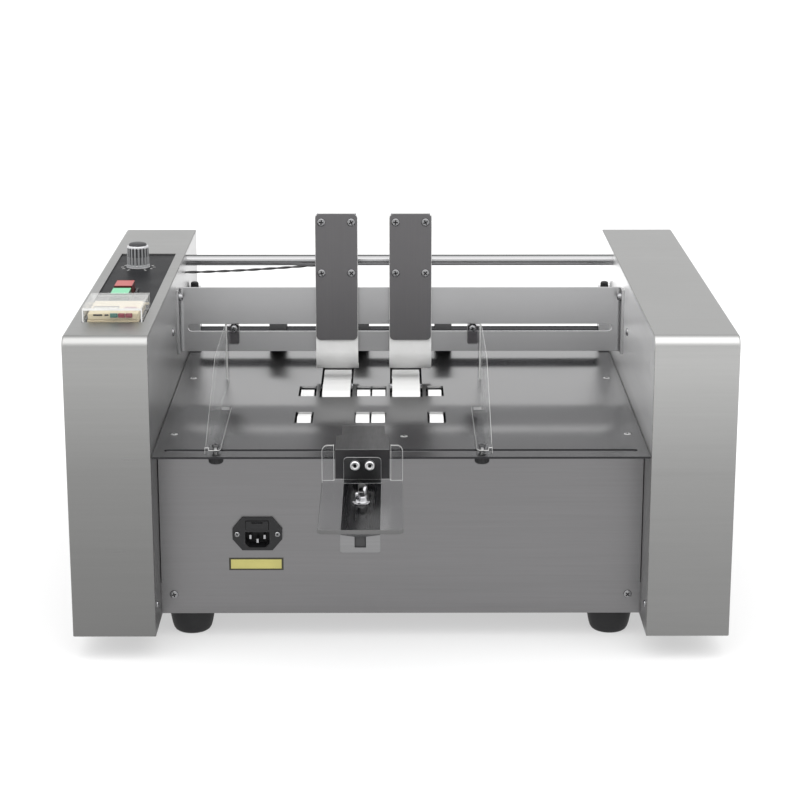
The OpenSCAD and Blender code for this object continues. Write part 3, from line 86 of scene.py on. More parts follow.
STROKE = 9.0
RAMP_TOP = 0.4


def material(name):
    m = bpy.data.materials.new(name)
    m.use_nodes = True
    nt = m.node_tree
    return m, nt, nt.nodes["Principled BSDF"]


def mapped(nt, scale, offset=(0, 0, 0)):
    coord = nt.nodes.new("ShaderNodeTexCoord")
    mapping = nt.nodes.new("ShaderNodeMapping")
    mapping.inputs["Scale"].default_value = scale
    mapping.inputs["Location"].default_value = offset
    nt.links.new(coord.outputs["Object"], mapping.inputs["Vector"])
    return mapping.outputs["Vector"]


def noise(nt, scale, detail=3.0, rough=0.55, offset=(0, 0, 0)):
    n = nt.nodes.new("ShaderNodeTexNoise")
    n.inputs["Scale"].default_value = 1.0
    n.inputs["Detail"].default_value = detail
    n.inputs["Roughness"].default_value = rough
    nt.links.new(mapped(nt, scale, offset), n.inputs["Vector"])
    return n.outputs["Fac"]


def ranged(nt, value, low, high, from_low=0.3, from_high=0.7):
    r = nt.nodes.new("ShaderNodeMapRange")
    r.inputs["From Min"].default_value = from_low
    r.inputs["From Max"].default_value = from_high
    r.inputs["To Min"].default_value = low
    r.inputs["To Max"].default_value = high
    nt.links.new(value, r.inputs["Value"])
    return r.outputs["Result"]


def calc(nt, op, a, b=0.0):
    n = nt.nodes.new("ShaderNodeMath")
    n.operation = op
    for i, v in enumerate((a, b)):
        if isinstance(v, (int, float)):
            n.inputs[i].default_value = v
        else:
            nt.links.new(v, n.inputs[i])
    return n.outputs["Value"]


def blend_colour(nt, fac, a, b):
    n = nt.nodes.new("ShaderNodeMix")
    n.data_type = "RGBA"
    nt.links.new(fac, n.inputs["Factor"])
    for i, c in ((6, a), (7, b)):
        if isinstance(c, tuple):
            n.inputs[i].default_value = (*c, 1)
        else:
            nt.links.new(c, n.inputs[i])
    return n.outputs[2]


def bump(nt, bsdf, height, strength, distance):
    b = nt.nodes.new("ShaderNodeBump")
    b.inputs["Strength"].default_value = strength
    b.inputs["Distance"].default_value = distance
    nt.links.new(height, b.inputs["Height"])
    nt.links.new(b.outputs["Normal"], bsdf.inputs["Normal"])


def tone(colour, k):
    return tuple(min(1.0, c * k) for c in colour)


def split_xyz(nt, vector):
    split = nt.nodes.new("ShaderNodeSeparateXYZ")
    nt.links.new(vector, split.inputs[0])
    return split.outputs


def fill(ramp, stops):
    """Sets the grey stops of a ramp: their places and values."""
    for i, (place, value) in enumerate(stops):
        stop = ramp.elements[i] if i < 2 else ramp.elements.new(place)
        stop.position = place
        stop.color = (value, value, value, 1)


def cut_edges(nt, axis="Z"):
    """1 on faces that stand upright, such as a sheet's sawn edges, or on faces that look along another axis."""
    normal = split_xyz(nt, nt.nodes.new("ShaderNodeNewGeometry").outputs["Normal"])
    if axis == "Z":
        return ranged(nt, calc(nt, "ABSOLUTE", normal["Z"]), 1.0, 0.0, 0.45, 0.6)
    return ranged(nt, calc(nt, "ABSOLUTE", normal[axis]), 0.0, 1.0, 0.6, 0.8)


def height_ramp(nt, stops):
    """Painted light and shade: a tone that changes with the height above the floor, in metres."""
    place = split_xyz(nt, mapped(nt, (1, 1, 1)))
    r = nt.nodes.new("ShaderNodeValToRGB")
    nt.links.new(calc(nt, "DIVIDE", place["Z"], RAMP_TOP), r.inputs["Fac"])
    fill(r.color_ramp, [(z / RAMP_TOP, v) for z, v in stops])
    return r.outputs["Color"]


def brushed(name, base, rough, along, lines, strength, spread, vary=0.07, edges=None, painted_end_light=None, painted_light_shade=None,
            stretch=0.0, rim=1.0):
    """Brushed sheet: fine lines along one axis, broad smudges, and a little tone between strokes. Options paint shade
    on upright faces, light on faces that look along Y, and light and shade by height.
    """
    m, nt, bsdf = material(name)
    axis = "XYZ".index(along)
    fine_scale = [lines] * 3
    fine_scale[axis] = STROKE
    broad_scale = [lines * 0.31] * 3
    broad_scale[axis] = STROKE * 0.4
    fine = noise(nt, fine_scale, detail=3.0, rough=0.62)
    broad = noise(nt, broad_scale, detail=2.0, rough=0.5, offset=(3.1, 1.7, 5.3))
    smudge = noise(nt, (7.0, 7.0, 7.0), detail=3.0, rough=0.6, offset=(0.4, 2.2, 1.1))
    strokes = calc(nt, "ADD", calc(nt, "MULTIPLY", fine, 0.62), calc(nt, "MULTIPLY", broad, 0.38))
    colour = blend_colour(nt, ranged(nt, strokes, 0, 1), tone(base, 1 - vary), tone(base, 1 + vary))
    # Painted shade: the edges colour goes on upright faces, such as the sides of slots and windows.
    if edges:
        colour = blend_colour(nt, cut_edges(nt), colour, edges)
    # Painted light: a lighter colour goes on faces that look along Y behind the front, such as window end walls.
    if painted_end_light:
        place = split_xyz(nt, mapped(nt, (1, 1, 1)))
        behind = ranged(nt, place["Y"], 0.0, 1.0, -0.12, -0.10)
        colour = blend_colour(nt, calc(nt, "MULTIPLY", cut_edges(nt, "Y"), behind), colour, painted_end_light)
    # Painted light and shade: the height tone multiplies the colour.
    if painted_light_shade:
        n = nt.nodes.new("ShaderNodeMix")
        n.data_type = "RGBA"
        n.blend_type = "MULTIPLY"
        n.inputs["Factor"].default_value = 1.0
        nt.links.new(colour, n.inputs[6])
        nt.links.new(height_ramp(nt, painted_light_shade), n.inputs[7])
        colour = n.outputs[2]
    nt.links.new(colour, bsdf.inputs["Base Color"])
    if stretch:
        tangent = nt.nodes.new("ShaderNodeTangent")
        tangent.direction_type = "RADIAL"
        tangent.axis = along
        nt.links.new(tangent.outputs["Tangent"], bsdf.inputs["Tangent"])
        bsdf.inputs["Anisotropic"].default_value = stretch
    r = calc(nt, "ADD", ranged(nt, strokes, rough - spread, rough + spread), ranged(nt, smudge, -0.03, 0.03))
    nt.links.new(r, bsdf.inputs["Roughness"])
    bsdf.inputs["Metallic"].default_value = 1.0
    bsdf.inputs["Specular Tint"].default_value = (rim, rim, rim, 1)
    bump(nt, bsdf, strokes, strength, 0.0004)
    return m


def satin(name, base, rough, metallic, grain, strength, vary=0.06, coat=0.0, spec=0.5):
    """Moulded or ground surface: fine even grain, soft smudges and slight wear of tone."""
    m, nt, bsdf = material(name)
    fine = noise(nt, (grain, grain, grain), detail=2.0)
    smudge = noise(nt, (24.0, 24.0, 24.0), detail=4.0, rough=0.6, offset=(1.3, 0.2, 2.4))
    worn = blend_colour(nt, ranged(nt, smudge, 0, 1), tone(base, 0.92), tone(base, 1.08))
    nt.links.new(worn, bsdf.inputs["Base Color"])
    r = calc(nt, "ADD", ranged(nt, fine, rough - vary, rough + vary), ranged(nt, smudge, -0.04, 0.04))
    nt.links.new(r, bsdf.inputs["Roughness"])
    bsdf.inputs["Metallic"].default_value = metallic
    bsdf.inputs["Coat Weight"].default_value = coat
    bsdf.inputs["Specular IOR Level"].default_value = spec
    bump(nt, bsdf, fine, strength, 0.0002)
    return m


def belting(name, base, rough):
    """Ribbed rubber: fine ribs across the running direction."""
    m, nt, bsdf = material(name)
    ribs = noise(nt, (6.0, 700.0, 700.0), detail=2.0)
    smudge = noise(nt, (30.0, 30.0, 30.0), detail=4.0, offset=(0.3, 1.2, 0.4))
    ribbed = blend_colour(nt, ranged(nt, ribs, 0, 1), tone(base, 0.9), tone(base, 1.04))
    nt.links.new(ribbed, bsdf.inputs["Base Color"])
    nt.links.new(ranged(nt, smudge, rough - 0.08, rough + 0.08), bsdf.inputs["Roughness"])
    bump(nt, bsdf, ribs, 0.16, 0.0004)
    return m


def acrylic(name, tint, rough, gloss, transmission=1.0):
    """Thin clear sheet with faint smudges: it doesn't bend light, and a coat gives its gloss."""
    m, nt, bsdf = material(name)
    smudge = noise(nt, (40.0, 40.0, 40.0), detail=4.0)
    tinted = blend_colour(nt, ranged(nt, smudge, 0, 1), tone(tint, 0.99), tone(tint, 1.01))
    nt.links.new(tinted, bsdf.inputs["Base Color"])
    nt.links.new(ranged(nt, smudge, rough * 0.5, rough * 1.6), bsdf.inputs["Roughness"])
    bsdf.inputs["Transmission Weight"].default_value = transmission
    bsdf.inputs["IOR"].default_value = 1.0
    bsdf.inputs["Coat Weight"].default_value = gloss
    bsdf.inputs["Coat Roughness"].default_value = 0.12
    return m


# Painted light and shade: heights in metres, each with the share of the base tone there.
COVER_PAINTED_SHADE = [(0.025, 0.53), (0.10, 0.57), (0.19, 0.67), (0.295, 1.0)]
AXLE_PAINTED_LIGHT = [(0.219, 10.0), (0.225, 8.0), (0.2275, 1.0), (0.234, 1.0)]
TIE_PAINTED_LIGHT_SHADE = [(0.309, 1.5), (0.3135, 1.2), (0.3165, 1.0), (0.3190, 0.50), (0.321, 0.38)]
RIGHT_WALL_PAINTED_LIGHT_SHADE = [(0.025, 0.50), (0.20, 0.46), (0.225, 0.85), (0.29, 1.1)]
WALL_PAINTED_SHADE = [(0.025, 0.50), (0.20, 0.45), (0.245, 0.60), (0.29, 1.0)]

# brushed: name, colour, roughness, stroke axis, lines per metre, bump, spread of roughness, spread of tone.
# satin: name, colour, roughness, metal, grain per metre, bump, spread of roughness, coat, specular level.
# acrylic: name, tint, roughness, gloss, transmission.
M = {
    # Covers: the tone is painted darker towards the floor, which is painted shade. The right cover is a lighter copy
    # of the same sheet, which is painted light.
    "cover": brushed("cover_sheet", (0.32, 0.32, 0.315), 0.33, "X", 430.0, 0.02, 0.04, 0.03,
                     painted_light_shade=COVER_PAINTED_SHADE, rim=0.85),
    "cover_right_painted_light": brushed("right_cover_sheet_painted_light", (0.40, 0.40, 0.395), 0.33, "X", 430.0, 0.02, 0.04, 0.03,
                           painted_light_shade=COVER_PAINTED_SHADE, rim=0.75),
    # Inner walls: the tone is painted darker low down and lighter near the top, which is painted shade and light. The
    # right wall is a much lighter copy, which is painted light.
    "wall": brushed("wall_sheet", (0.53, 0.53, 0.53), 0.36, "Y", 430.0, 0.003, 0.02, 0.02, painted_light_shade=WALL_PAINTED_SHADE),
    "wall_right_painted_light": brushed("right_wall_sheet_painted_light", (0.90, 0.90, 0.90), 0.38, "Y", 430.0, 0.003, 0.02, 0.02,
                          painted_light_shade=RIGHT_WALL_PAINTED_LIGHT_SHADE),
    # Table: painted shade on its upright faces, and painted light on its window end walls.
    "table": brushed("table_sheet", (0.155, 0.155, 0.158), 0.17, "Y", 480.0, 0.001, 0.006, 0.02,
                     edges=(0.035, 0.035, 0.037), painted_end_light=(0.45, 0.45, 0.45), stretch=1.0),
    "panel": brushed("panel_sheet", (0.19, 0.188, 0.191), 0.36, "X", 430.0, 0.05, 0.06, 0.06),
    "beam": brushed("beam_sheet", (0.42, 0.42, 0.425), 0.30, "X", 480.0, 0.0008, 0.008, 0.012),
    "gate": brushed("gate_sheet", (0.138, 0.135, 0.139), 0.40, "Z", 600.0, 0.02, 0.05, 0.05),
    "stop": brushed("stop_sheet", (0.045, 0.044, 0.046), 0.36, "Y", 600.0, 0.02, 0.04, 0.04),
    "shelf": brushed("shelf_sheet", (0.225, 0.225, 0.228), 0.36, "X", 600.0, 0.004, 0.02),
    # Upper part of the stop bracket: a darker copy of its steel, which is painted shade.
    "shelf_top": brushed("shelf_top_painted_shade", (0.055, 0.055, 0.057), 0.34, "Y", 600.0, 0.004, 0.02, rim=0.3),
    # Light steel: painted highlight on the rims of the stop ramp and bracket and on the table's screw domes, and used
    # for the stop's socket heads.
    "light_steel_and_painted_highlight": satin("light_steel_and_painted_highlight", (0.62, 0.62, 0.62), 0.34, 1.0, 1500.0, 0.02),
    "bright": satin("bright_steel", (0.36, 0.36, 0.37), 0.13, 1.0, 1500.0, 0.02, 0.04),
    "chrome": satin("plated_steel", (0.25, 0.25, 0.256), 0.11, 1.0, 1500.0, 0.02, 0.03),
    # Screw recesses: painted shade, far darker than the screws' own steel.
    "recess": satin("screw_recess_painted_shade", (0.03, 0.03, 0.031), 0.4, 1.0, 1500.0, 0.03, 0.05),
    "dull_steel": satin("dull_steel", (0.09, 0.09, 0.092), 0.28, 1.0, 1500.0, 0.03, 0.05),
    "bar": brushed("ground_bar", (0.40, 0.40, 0.41), 0.20, "X", 900.0, 0.03, 0.05),
    # Tie bar: painted light towards its underside and painted shade along its top.
    "tie": brushed("polished_bar", (0.46, 0.46, 0.465), 0.20, "X", 900.0, 0.004, 0.02, 0.02,
                   painted_light_shade=TIE_PAINTED_LIGHT_SHADE, rim=0.35),
    # Pinch shaft: its underside is painted many times lighter than the rest, which is painted light.
    "axle": brushed("dark_axle", (0.035, 0.035, 0.037), 0.22, "X", 900.0, 0.02, 0.04, 0.04,
                    painted_light_shade=AXLE_PAINTED_LIGHT, rim=0.3),
    "dark_block": satin("dark_block", (0.08, 0.08, 0.088), 0.38, 1.0, 1200.0, 0.06),
    "light_block": satin("light_block", (0.62, 0.62, 0.625), 0.42, 1.0, 1200.0, 0.05),
    "white_rubber": satin("white_rubber", (0.60, 0.60, 0.595), 0.58, 0.0, 1400.0, 0.08),
    "white_belt": satin("white_belt", (0.62, 0.62, 0.615), 0.58, 0.0, 1400.0, 0.08),
    "ribbed_belt": belting("ribbed_belt", (0.60, 0.60, 0.595), 0.58),
    "black_rubber": satin("black_rubber", (0.013, 0.013, 0.014), 0.55, 0.0, 1300.0, 0.14, 0.08, 0.0, 0.3),
    "grey_rubber": satin("grey_rubber", (0.035, 0.035, 0.036), 0.60, 0.0, 1300.0, 0.14, 0.08, 0.0, 0.3),
    "exit_tyre": satin("exit_tyre", (0.16, 0.16, 0.165), 0.60, 0.0, 1300.0, 0.14, 0.08, 0.0, 0.3),
    "lead": satin("lead_sleeve", (0.030, 0.029, 0.030), 0.45, 0.0, 1300.0, 0.10),
    "black_plastic": satin("black_plastic", (0.012, 0.012, 0.013), 0.42, 0.0, 1800.0, 0.08, 0.06, 0.0, 0.3),
    "clear": acrylic("clear_sheet", (0.955, 0.965, 0.965), 0.012, 0.7),
    "clear_stop": acrylic("clear_stop_sheet", (0.90, 0.905, 0.91), 0.10, 0.22),
    "clear_guide": acrylic("clear_guide_sheet", (0.965, 0.97, 0.97), 0.02, 0.35),
    # Darker tints of the guides' clear sheet for the tab and the foot: painted shade.
    "clear_tab": acrylic("clear_tab_painted_shade", (0.44, 0.43, 0.44), 0.03, 0.25),
    "clear_foot": acrylic("clear_foot_painted_shade", (0.76, 0.76, 0.77), 0.03, 0.35),
    # Dark colour for cut acrylic edges: painted shade.
    "acrylic_edge_shade": satin("acrylic_edge_painted_shade", (0.10, 0.10, 0.10), 0.45, 0.0, 1500.0, 0.04, 0.06, 0.0, 0.25),
    # Lid top: a whiter, less clear copy of the acrylic, which is haze and painted reflection. Lid lines: painted
    # highlight.
    "lid_top": acrylic("lid_top_haze_and_painted_reflection", (0.84, 0.84, 0.83), 0.05, 0.7, 0.88),
    "lid_line": satin("acrylic_painted_highlight_line", (0.66, 0.66, 0.65), 0.30, 0.0, 1500.0, 0.03),
    "clear_edge": acrylic("cut_acrylic_edge", (0.93, 0.94, 0.94), 0.05, 0.5),
    # Lines on chosen cut edges: frosted edges with painted highlight.
    "clear_line": satin("frosted_edge_and_painted_highlight_line", (0.50, 0.50, 0.495), 0.40, 0.0, 1500.0, 0.04),
    "foot_line": satin("frosted_foot_edge_and_painted_highlight", (0.23, 0.23, 0.228), 0.40, 0.0, 1500.0, 0.04),
    "bronze": satin("bronze_bush", (0.45, 0.30, 0.15), 0.34, 1.0, 1400.0, 0.05),
    "motor": satin("motor_paint", (0.028, 0.03, 0.036), 0.42, 0.0, 900.0, 0.14),
    "control": satin("control_plate", (0.012, 0.0122, 0.0135), 0.45, 0.0, 1600.0, 0.05, 0.06, 0.0, 0.05),
    "control_ink": satin("control_ink", (0.55, 0.55, 0.54), 0.5, 0.0, 1600.0, 0.03),
    "beige": satin("counter_beige", (0.54, 0.465, 0.325), 0.40, 0.0, 1500.0, 0.06),
    "beige_dark": satin("counter_base", (0.50, 0.42, 0.29), 0.45, 0.0, 1500.0, 0.06),
    "drum": satin("counter_drum", (0.50, 0.48, 0.43), 0.45, 0.0, 1500.0, 0.05),
    "crimson": satin("counter_crimson", (0.20, 0.035, 0.05), 0.35, 0.0, 1500.0, 0.05),
    "teal": satin("counter_teal", (0.05, 0.14, 0.12), 0.35, 0.0, 1500.0, 0.05),
    "red": satin("button_red", (0.30, 0.036, 0.032), 0.36, 0.0, 1500.0, 0.03, 0.04, 0.05, 0.3),
    # Button sides: far darker copies of the button colours, which is painted shade.
    "red_side": satin("button_red_painted_shade_side", (0.055, 0.005, 0.005), 0.42, 0.0, 1500.0, 0.03, 0.06, 0.0, 0.2),
    "green": satin("button_green", (0.11, 0.40, 0.22), 0.36, 0.0, 1500.0, 0.03, 0.04, 0.05, 0.3),
    "green_side": satin("button_green_painted_shade_side", (0.006, 0.05, 0.025), 0.42, 0.0, 1500.0, 0.03, 0.06, 0.0, 0.2),
    "knob": satin("knob_grey", (0.20, 0.203, 0.208), 0.40, 0.0, 1500.0, 0.05, 0.06, 0.0, 0.3),
    # Knob grooves: painted shade.
    "knob_groove_painted_shade": satin("knob_groove_painted_shade", (0.045, 0.045, 0.048), 0.5, 0.0, 1500.0, 0.05, 0.06, 0.0, 0.1),
    "knob_rim": satin("knob_rim", (0.46, 0.46, 0.47), 0.32, 0.3, 1500.0, 0.04),
    "knob_cap": satin("knob_cap", (0.035, 0.035, 0.037), 0.45, 0.0, 1500.0, 0.05, 0.06, 0.0, 0.2),
    "yellow": satin("label_yellow", (0.40, 0.365, 0.115), 0.45, 0.0, 1500.0, 0.03),
    "label_frame": satin("label_frame", (0.020, 0.018, 0.006), 0.45, 0.0, 1500.0, 0.03),
}

NODE_MATERIAL = {
    "wall": ["left_side_plate"],
    "wall_right_painted_light": ["right_side_plate"],
    "table": ["table_plate"],
    "panel": ["front_panel", "chassis_tray"],
    "bright": ["inlet_pins"],
    "tie": ["tie_bar"],
    "axle": ["pinch_shaft"],
    "bar": ["front_roller", "drive_roller", "rear_roller", "exit_shaft"],
    "dark_block": ["left_gate_block", "right_gate_block", "left_gate_carrier", "right_gate_carrier"],
    "light_block": ["pinch_blocks"],
    "white_belt": ["narrow_belts"],
    "ribbed_belt": ["wide_belts"],
    "black_rubber": ["exit_belt"],
    "grey_rubber": ["pinch_wheels"],
    "exit_tyre": ["exit_rollers"],
    "black_plastic": ["sensor", "control_modules"],
    "bronze": ["shaft_bearings"],
    "motor": ["gear_motor"],
    "control": ["control_panel"],
}

for key, names in NODE_MATERIAL.items():
    for n in names:
        nodes[n].data.materials.clear()
        nodes[n].data.materials.append(M[key])

# ---------------------------------------------------------------- mesh helpers

SOFT_FOLD = 50
FOLD = math.radians(40)


def piece(name, bm, mats, body, replaces=(), sharp=30):
    """A new mesh piece with smooth faces and sharp folds, riding on a body."""
    bmesh.ops.recalc_face_normals(bm, faces=bm.faces)
    for f in bm.faces:
        f.smooth = True
    for e in bm.edges:
        e.smooth = len(e.link_faces) == 2 and e.calc_face_angle(0.0) < math.radians(sharp)
    mesh = bpy.data.meshes.new(name)
    bm.to_mesh(mesh)
    bm.free()
    for m in mats:
        mesh.materials.append(M[m])
    obj = bpy.data.objects.new(name, mesh)
    scene.collection.objects.link(obj)
    level = obj.modifiers.new("flat_faces", "WEIGHTED_NORMAL")
    level.keep_sharp = True
    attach(obj, body)
    if replaces:
        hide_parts(*replaces)


def unique(items):
    return list(dict.fromkeys(items))


def recolour(faces, old, new):
    for f in faces:
        if f.material_index == old:
            f.material_index = new


def spot(f):
    """A face's middle in millimetres, counted as at() counts."""
    return f.calc_center_median() / MM + Vector((0, Y_MID, 0))


def facing(point, direction):
    """A frame at a point, with its Z along a direction."""
    turn = Vector(direction).to_track_quat("Z", "Y").to_matrix().to_4x4()
    return Matrix.Translation(point) @ turn


def rings(bm, levels, place, seg=48):
    """Loops round a local Z axis, joined by faces. A level is radius or function of the angle, height, material."""
    last = None
    for radius, height, mat in levels:
        if radius == 0:
            loop = [bm.verts.new(place @ Vector((0, 0, height * MM)))]
        else:
            loop = []
            for i in range(seg):
                a = 2 * math.pi * i / seg
                r = radius(a) if callable(radius) else radius
                u, v = r * math.cos(a) * MM, r * math.sin(a) * MM
                loop.append(bm.verts.new(place @ Vector((u, v, height * MM))))
        if last:
            for i in range(seg):
                j = (i + 1) % seg
                if len(loop) == 1:
                    f = bm.faces.new((last[i], last[j], loop[0]))
                elif len(last) == 1:
                    f = bm.faces.new((last[0], loop[j], loop[i]))
                else:
                    f = bm.faces.new((last[i], last[j], loop[j], loop[i]))
                f.material_index = mat
        last = loop


def plain(levels):
    """Levels of one material, from pairs of radius and height."""
    return [(radius, height, 0) for radius, height in levels]


def bevel(bm, edges, width, segments=2, mat=-1):
    bmesh.ops.bevel(bm, geom=edges, offset=width * MM, offset_type="OFFSET", segments=segments, profile=0.5,
                    affect="EDGES", clamp_overlap=True, material=mat)


def cut(bm, faces, point, normal):
    """Cuts some of a mesh's faces along a plane."""
    geom = faces + unique(e for f in faces for e in f.edges) + unique(v for f in faces for v in f.verts)
    bmesh.ops.bisect_plane(bm, geom=geom, dist=1e-7, plane_co=point, plane_no=normal)


def block(bm, lo, hi, round_by=0.0, segments=2, mat=0):
    """A box between two places in millimetres, with its edges rounded."""
    made = bmesh.ops.create_cube(bm, size=1.0)["verts"]
    a, b = at(*lo), at(*hi)
    for v in made:
        v.co = Vector([(a[i] + b[i]) / 2 + v.co[i] * (b[i] - a[i]) for i in range(3)])
    for f in unique(f for v in made for f in v.link_faces):
        f.material_index = mat
    if round_by:
        bevel(bm, unique(e for v in made for e in v.link_edges), round_by, segments)


def rounded_outline(x0, z0, x1, z1, r, seg=10):
    """Corner points of a rounded rectangle, in millimetres."""
    pts = []
    for cx, cz, start in ((x1 - r, z0 + r, -90), (x1 - r, z1 - r, 0), (x0 + r, z1 - r, 90), (x0 + r, z0 + r, 180)):
        for i in range(seg + 1):
            a = math.radians(start + 90 * i / seg)
            pts.append((cx + r * math.cos(a), cz + r * math.sin(a)))
    return pts


def prism(bm, front, rear):
    """A solid between two equal outlines of points in metres. It gives back the edges of both outlines."""
    front, rear = [bm.verts.new(p) for p in front], [bm.verts.new(p) for p in rear]
    n = len(front)
    faces = [bm.faces.new(front), bm.faces.new(rear[::-1])]
    for i in range(n):
        faces.append(bm.faces.new((front[i], rear[i], rear[(i + 1) % n], front[(i + 1) % n])))
    bmesh.ops.recalc_face_normals(bm, faces=faces)
    return [e for f in faces[:2] for e in f.edges]


def solid_of(node):
    """A node's solid as one joined mesh with whole flat faces."""
    bm = bmesh.new()
    bm.from_mesh(nodes[node].data)
    bmesh.ops.remove_doubles(bm, verts=bm.verts, dist=2e-6)
    bmesh.ops.dissolve_limit(bm, angle_limit=math.radians(0.3), verts=bm.verts, edges=bm.edges,
                             use_dissolve_boundaries=False)
    return bm


def folds(bm):
    return [e for e in bm.edges if len(e.link_faces) == 2 and e.calc_face_angle(0.0) > FOLD]


def refined(node, mats, body, width, segments=2):
    """A node's own shape with its sharp edges broken."""
    bm = solid_of(node)
    for f in bm.faces:
        f.material_index = 0
    bevel(bm, folds(bm), width, segments)
    piece(node + "_shape", bm, mats, body, (node,), SOFT_FOLD)


def lined(node, mats, body, width, paint, line):
    """A node's own shape with its edges broken, and the edges' faces given a material by their place."""
    bm = solid_of(node)
    for f in bm.faces:
        f.material_index = paint(f)
    bevel(bm, folds(bm), width, 1, len(mats))
    for f in bm.faces:
        if f.material_index == len(mats):
            f.material_index = line(spot(f))
    piece(node + "_shape", bm, mats, body, (node,), SOFT_FOLD)


def sawn(thick):
    """Picks the sawn edges of a clear sheet: faces no wider than its thickness."""
    def pick(f):
        n = f.normal
        spans = []
        for axis in range(3):
            if abs(n[axis]) < 0.7:
                values = [v.co[axis] for v in f.verts]
                spans.append(max(values) - min(values))
        return 1 if min(spans) < thick * 1.2 * MM else 0
    return pick


def cross_shape(length, width):
    def radius(a):
        c, s = max(abs(math.cos(a)), 1e-6), max(abs(math.sin(a)), 1e-6)
        return max(min(length / c, width / s), min(length / s, width / c))
    return radius


def hex_shape(flat):
    def radius(a):
        return flat / math.cos((a % (math.pi / 3)) - math.pi / 6)
    return radius


def fluted(r, count, depth):
    def radius(a):
        return r * (1 - depth * (0.5 - 0.5 * math.cos(a * count)) ** 2)
    return radius


def pan_head(bm, point, direction, dia, h, shaft=0.0, shaft_dia=4.0, turn=0.4):
    """A domed screw head with a cross recess, on its shaft."""
    r = dia / 2
    place = facing(point, direction) @ Matrix.Rotation(turn, 4, "Z")
    cross = cross_shape(r * 0.56, r * 0.15)
    low = cross_shape(r * 0.40, r * 0.11)
    dome = plain([(0, 0), (r * 0.97, 0), (r, h * 0.1), (r * 0.985, h * 0.42), (r * 0.91, h * 0.74),
                  (r * 0.76, h * 0.93), (r * 0.64, h), (cross, h)])
    rings(bm, dome + [(low, h * 0.35, 1), (0, h * 0.3, 1)], place)
    if shaft:
        s = shaft_dia / 2
        rings(bm, plain([(0, -shaft), (s * 0.8, -shaft), (s, -shaft + 0.8), (s, 0.05), (0, 0.05)]), place, 24)


def socket_head(bm, point, direction, dia, h, mat):
    """A round head with a rounded rim and a hexagon socket."""
    r = dia / 2
    hexagon = hex_shape(r * 0.36)
    rings(bm, [(0, 0, mat), (r, 0, mat), (r, h * 0.72, mat), (r * 0.97, h * 0.84, mat), (r * 0.88, h * 0.94, mat),
               (r * 0.74, h, mat), (r * 0.52, h * 0.97, mat), (hexagon, h * 0.9, mat), (hexagon, h * 0.45, 1),
               (0, h * 0.4, 1)], facing(point, direction))


def grip(node, point, direction, dia, h, stem=0.0, stem_dia=0.0, flutes=16, bore=0.0):
    """A fluted knob with a rounded crown, on its stem or round its bore."""
    bm = bmesh.new()
    r = dia / 2

    def ribbed(k):
        return fluted(r * k, flutes, 0.07)

    if bore:
        levels = [(0, 2.0), (bore / 2, 2.0), (bore / 2, h), (r * 0.80, h), (ribbed(0.96), h * 0.9),
                  (ribbed(1.0), h * 0.8), (ribbed(1.0), h * 0.25), (ribbed(0.96), h * 0.1), (r * 0.80, 0), (0, 0)]
    else:
        foot = [(0, 0)]
        if stem:
            s = stem_dia / 2
            foot = [(0, -stem), (s - 0.4, -stem), (s, -stem + 0.6), (s, 0)]
        levels = foot + [(r * 0.90, 0), (ribbed(0.985), h * 0.06), (ribbed(1.0), h * 0.16), (ribbed(0.99), h * 0.62),
                         (ribbed(0.95), h * 0.78), (r * 0.83, h * 0.91), (r * 0.62, h * 0.975), (r * 0.34, h), (0, h)]
    rings(bm, plain(levels), facing(point, direction), flutes * 8)
    piece(node + "_grip", bm, ["black_plastic"], node, (node,), SOFT_FOLD)


def tube(bm, points, radius, seg=8):
    """A round strand along points in metres."""
    last = None
    for i, p in enumerate(points):
        ahead = (points[min(i + 1, len(points) - 1)] - points[max(i - 1, 0)]).normalized()
        u = ahead.cross(Vector((0, 0, 1))).normalized()
        v = u.cross(ahead)
        loop = []
        for k in range(seg):
            a = 2 * math.pi * k / seg
            loop.append(bm.verts.new(p + radius * MM * (math.cos(a) * u + math.sin(a) * v)))
        if last:
            for k in range(seg):
                bm.faces.new((last[k], last[(k + 1) % seg], loop[(k + 1) % seg], loop[k]))
        else:
            bm.faces.new(loop[::-1])
        last = loop
    bm.faces.new(last)


# ---------------------------------------------------------------- covers

def near(a, b):
    return abs(a - b) < 1e-6


def cut_window(bm):
    """Opens the top of the left cover over the controls."""
    def tops():
        return [f for f in bm.faces if f.normal.z > 0.99]

    lo, hi = at(WINDOW_X[0], WINDOW_D[0], 0), at(WINDOW_X[1], WINDOW_D[1], 0)
    for point, normal in ((lo, (1, 0, 0)), (hi, (1, 0, 0)), (lo, (0, 1, 0)), (hi, (0, 1, 0))):
        cut(bm, tops(), point, normal)
    window = []
    for f in tops():
        c = f.calc_center_median()
        if lo.x < c.x < hi.x and lo.y < c.y < hi.y:
            window.append(f)
    bmesh.ops.delete(bm, geom=window, context="FACES")


